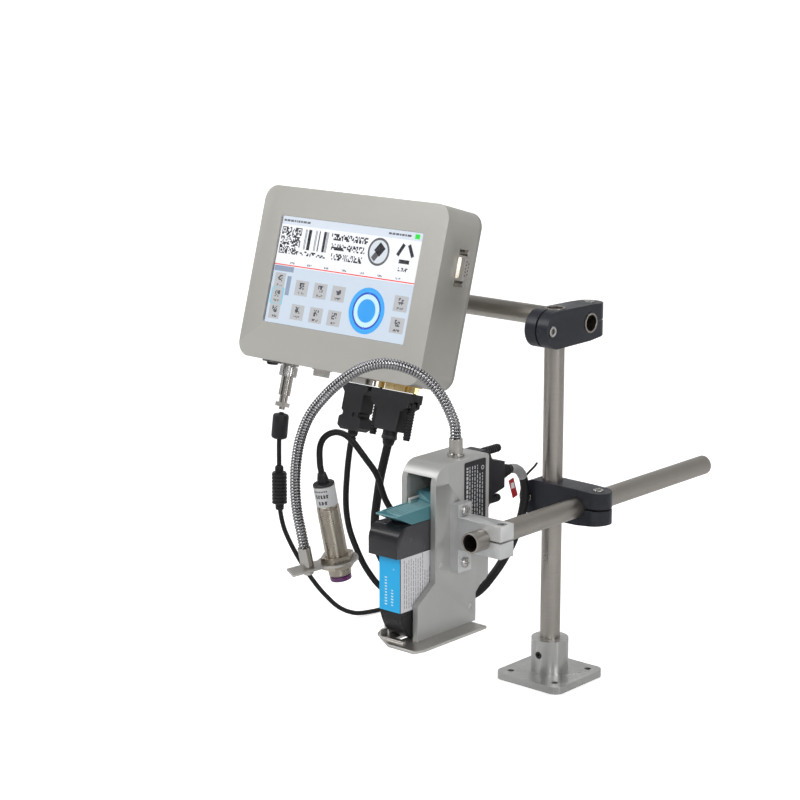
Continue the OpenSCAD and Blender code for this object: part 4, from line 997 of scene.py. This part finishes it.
# %% Tape, tie and tag
def wrap(name, line, start, length, radius, finish, body):
    travelled, part = 0.0, []
    for a, b in zip(line, line[1:]):
        if start <= travelled <= start + length:
            part.append(a)
        travelled += (b - a).length
    piece, _ = swept(name, part, lambda s: radius + 0.12 * math.sin(2.1 * s), finish, 20)
    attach(piece, body)
    return piece


total = route_length(head_line)
wrap("Grey tape wrap", head_line, total - 30, 21, 3.75, tape, "head")
wrap("Cable tie band", head_line, total - 34, 3.4, 4.1, black_mould, "head")
tie_tail = smooth_route([(-15.2, -18, 166), (-13, -14.5, 171), (-9, -12.5, 176), (-5.5, -13, 180)])
tail_piece, _ = swept("Cable tie tail", tie_tail, 0.9, black_mould, 6)
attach(tail_piece, "head")
tag = Sheet("Red tag")
tag.tile(0, 0, 6.5, 15, (0.4, 0.012, 0.02), 0)
tag.tile(0, 2, 4.2, 4.5, (0.7, 0.7, 0.7), 0.04, 12)
tag.lay(at(-9.5, -38, 164) @ turn(90, "Z") @ turn(82, "X") @ turn(12, "Z"), print_ink, "head", 0.25)
print("tape, tie and tag on")

# %% [markdown]
# The bench is a pale sheet that curves up behind the machine, so there is no seam between floor
# and wall. To the camera it gives off a little light of its own, which keeps it near white while
# the machine is lit by the lamps and the surround. The surround is a room with bright and dark
# patches, because bright metal shows what stands round it.

# %% Floor and lights
floor = empty_piece("Floor")
away = math.atan2(1.27, -1.11)
FLAT, CURVE, SIDES = 1.3, 0.9, 96
rings = [(r, 0.0) for r in (0.001, 0.5, 1.0, FLAT)]
rings += [(FLAT + CURVE * math.sin(math.radians(t)), CURVE - CURVE * math.cos(math.radians(t)))
          for t in range(6, 91, 6)]
rings += [(2.2, 1.6), (2.2, 2.6)]
corners, sheets = [], []
for k in range(SIDES):
    around = 2 * math.pi * k / SIDES
    rise = max(0.0, min(1.0, 0.5 + 1.2 * math.cos(around - away)))
    rise = rise * rise * (3 - 2 * rise)
    corners += [(r * math.cos(around), r * math.sin(around), z * rise - 0.0003) for r, z in rings]
    for i in range(len(rings) - 1):
        here, there = k * len(rings) + i, (k + 1) % SIDES * len(rings) + i
        sheets.append((here, here + 1, there + 1, there))
sheets.append(tuple(k * len(rings) for k in range(SIDES)))
floor.data.from_pydata(corners, [], sheets)
bpy.ops.object.shade_smooth()
pale, pale_tree, paper = new_material("Pale sheet")
seen = add_node(pale_tree, "LightPath").outputs["Is Camera Ray"]
fill_in(pale_tree, paper, Base_Color=(0.82, 0.82, 0.82, 1), Roughness=0.8, Emission_Color=(1, 1, 1, 1),
        Emission_Strength=scaled_mask(pale_tree, seen, 0.62))
floor.data.materials.append(pale)

world = bpy.data.worlds.new("Studio")
world.use_nodes = True
room = world.node_tree
facing = add_node(room, "TexCoord").outputs["Generated"]
patches = add_node(room, "TexNoise", Vector=facing, Scale=1.7, Detail=1.0).outputs["Fac"]
levels = remapped(room, patches, From_Min=0.42, From_Max=0.60, To_Min=0.05, To_Max=0.60)
fill_in(room, room.nodes["Background"], Color=levels, Strength=0.8)
bpy.context.scene.world = world


def lamp(name, place, target, size, power):
    data = bpy.data.lights.new(name, "AREA")
    data.shape = "RECTANGLE"
    data.size, data.size_y = size
    data.energy = power
    light = add_object(name, data)
    light.location = place
    light.rotation_euler = (Vector(target) - Vector(place)).to_track_quat("-Z", "Y").to_euler()


lamp("Key", (-1.1, -1.5, 1.9), (-0.1, 0, 0.2), (1.0, 1.3), 27)
lamp("Fill", (1.9, -0.4, 0.9), (0, 0, 0.2), (0.35, 1.4), 9)
lamp("Edge light", (1.25, -1.45, 1.0), (-0.1, 0, 0.2), (0.3, 0.5), 5)
lamp("Top", (0.1, 0.5, 1.8), (-0.1, 0, 0.2), (1.4, 0.8), 10)
bpy.context.scene.view_settings.view_transform = "Standard"
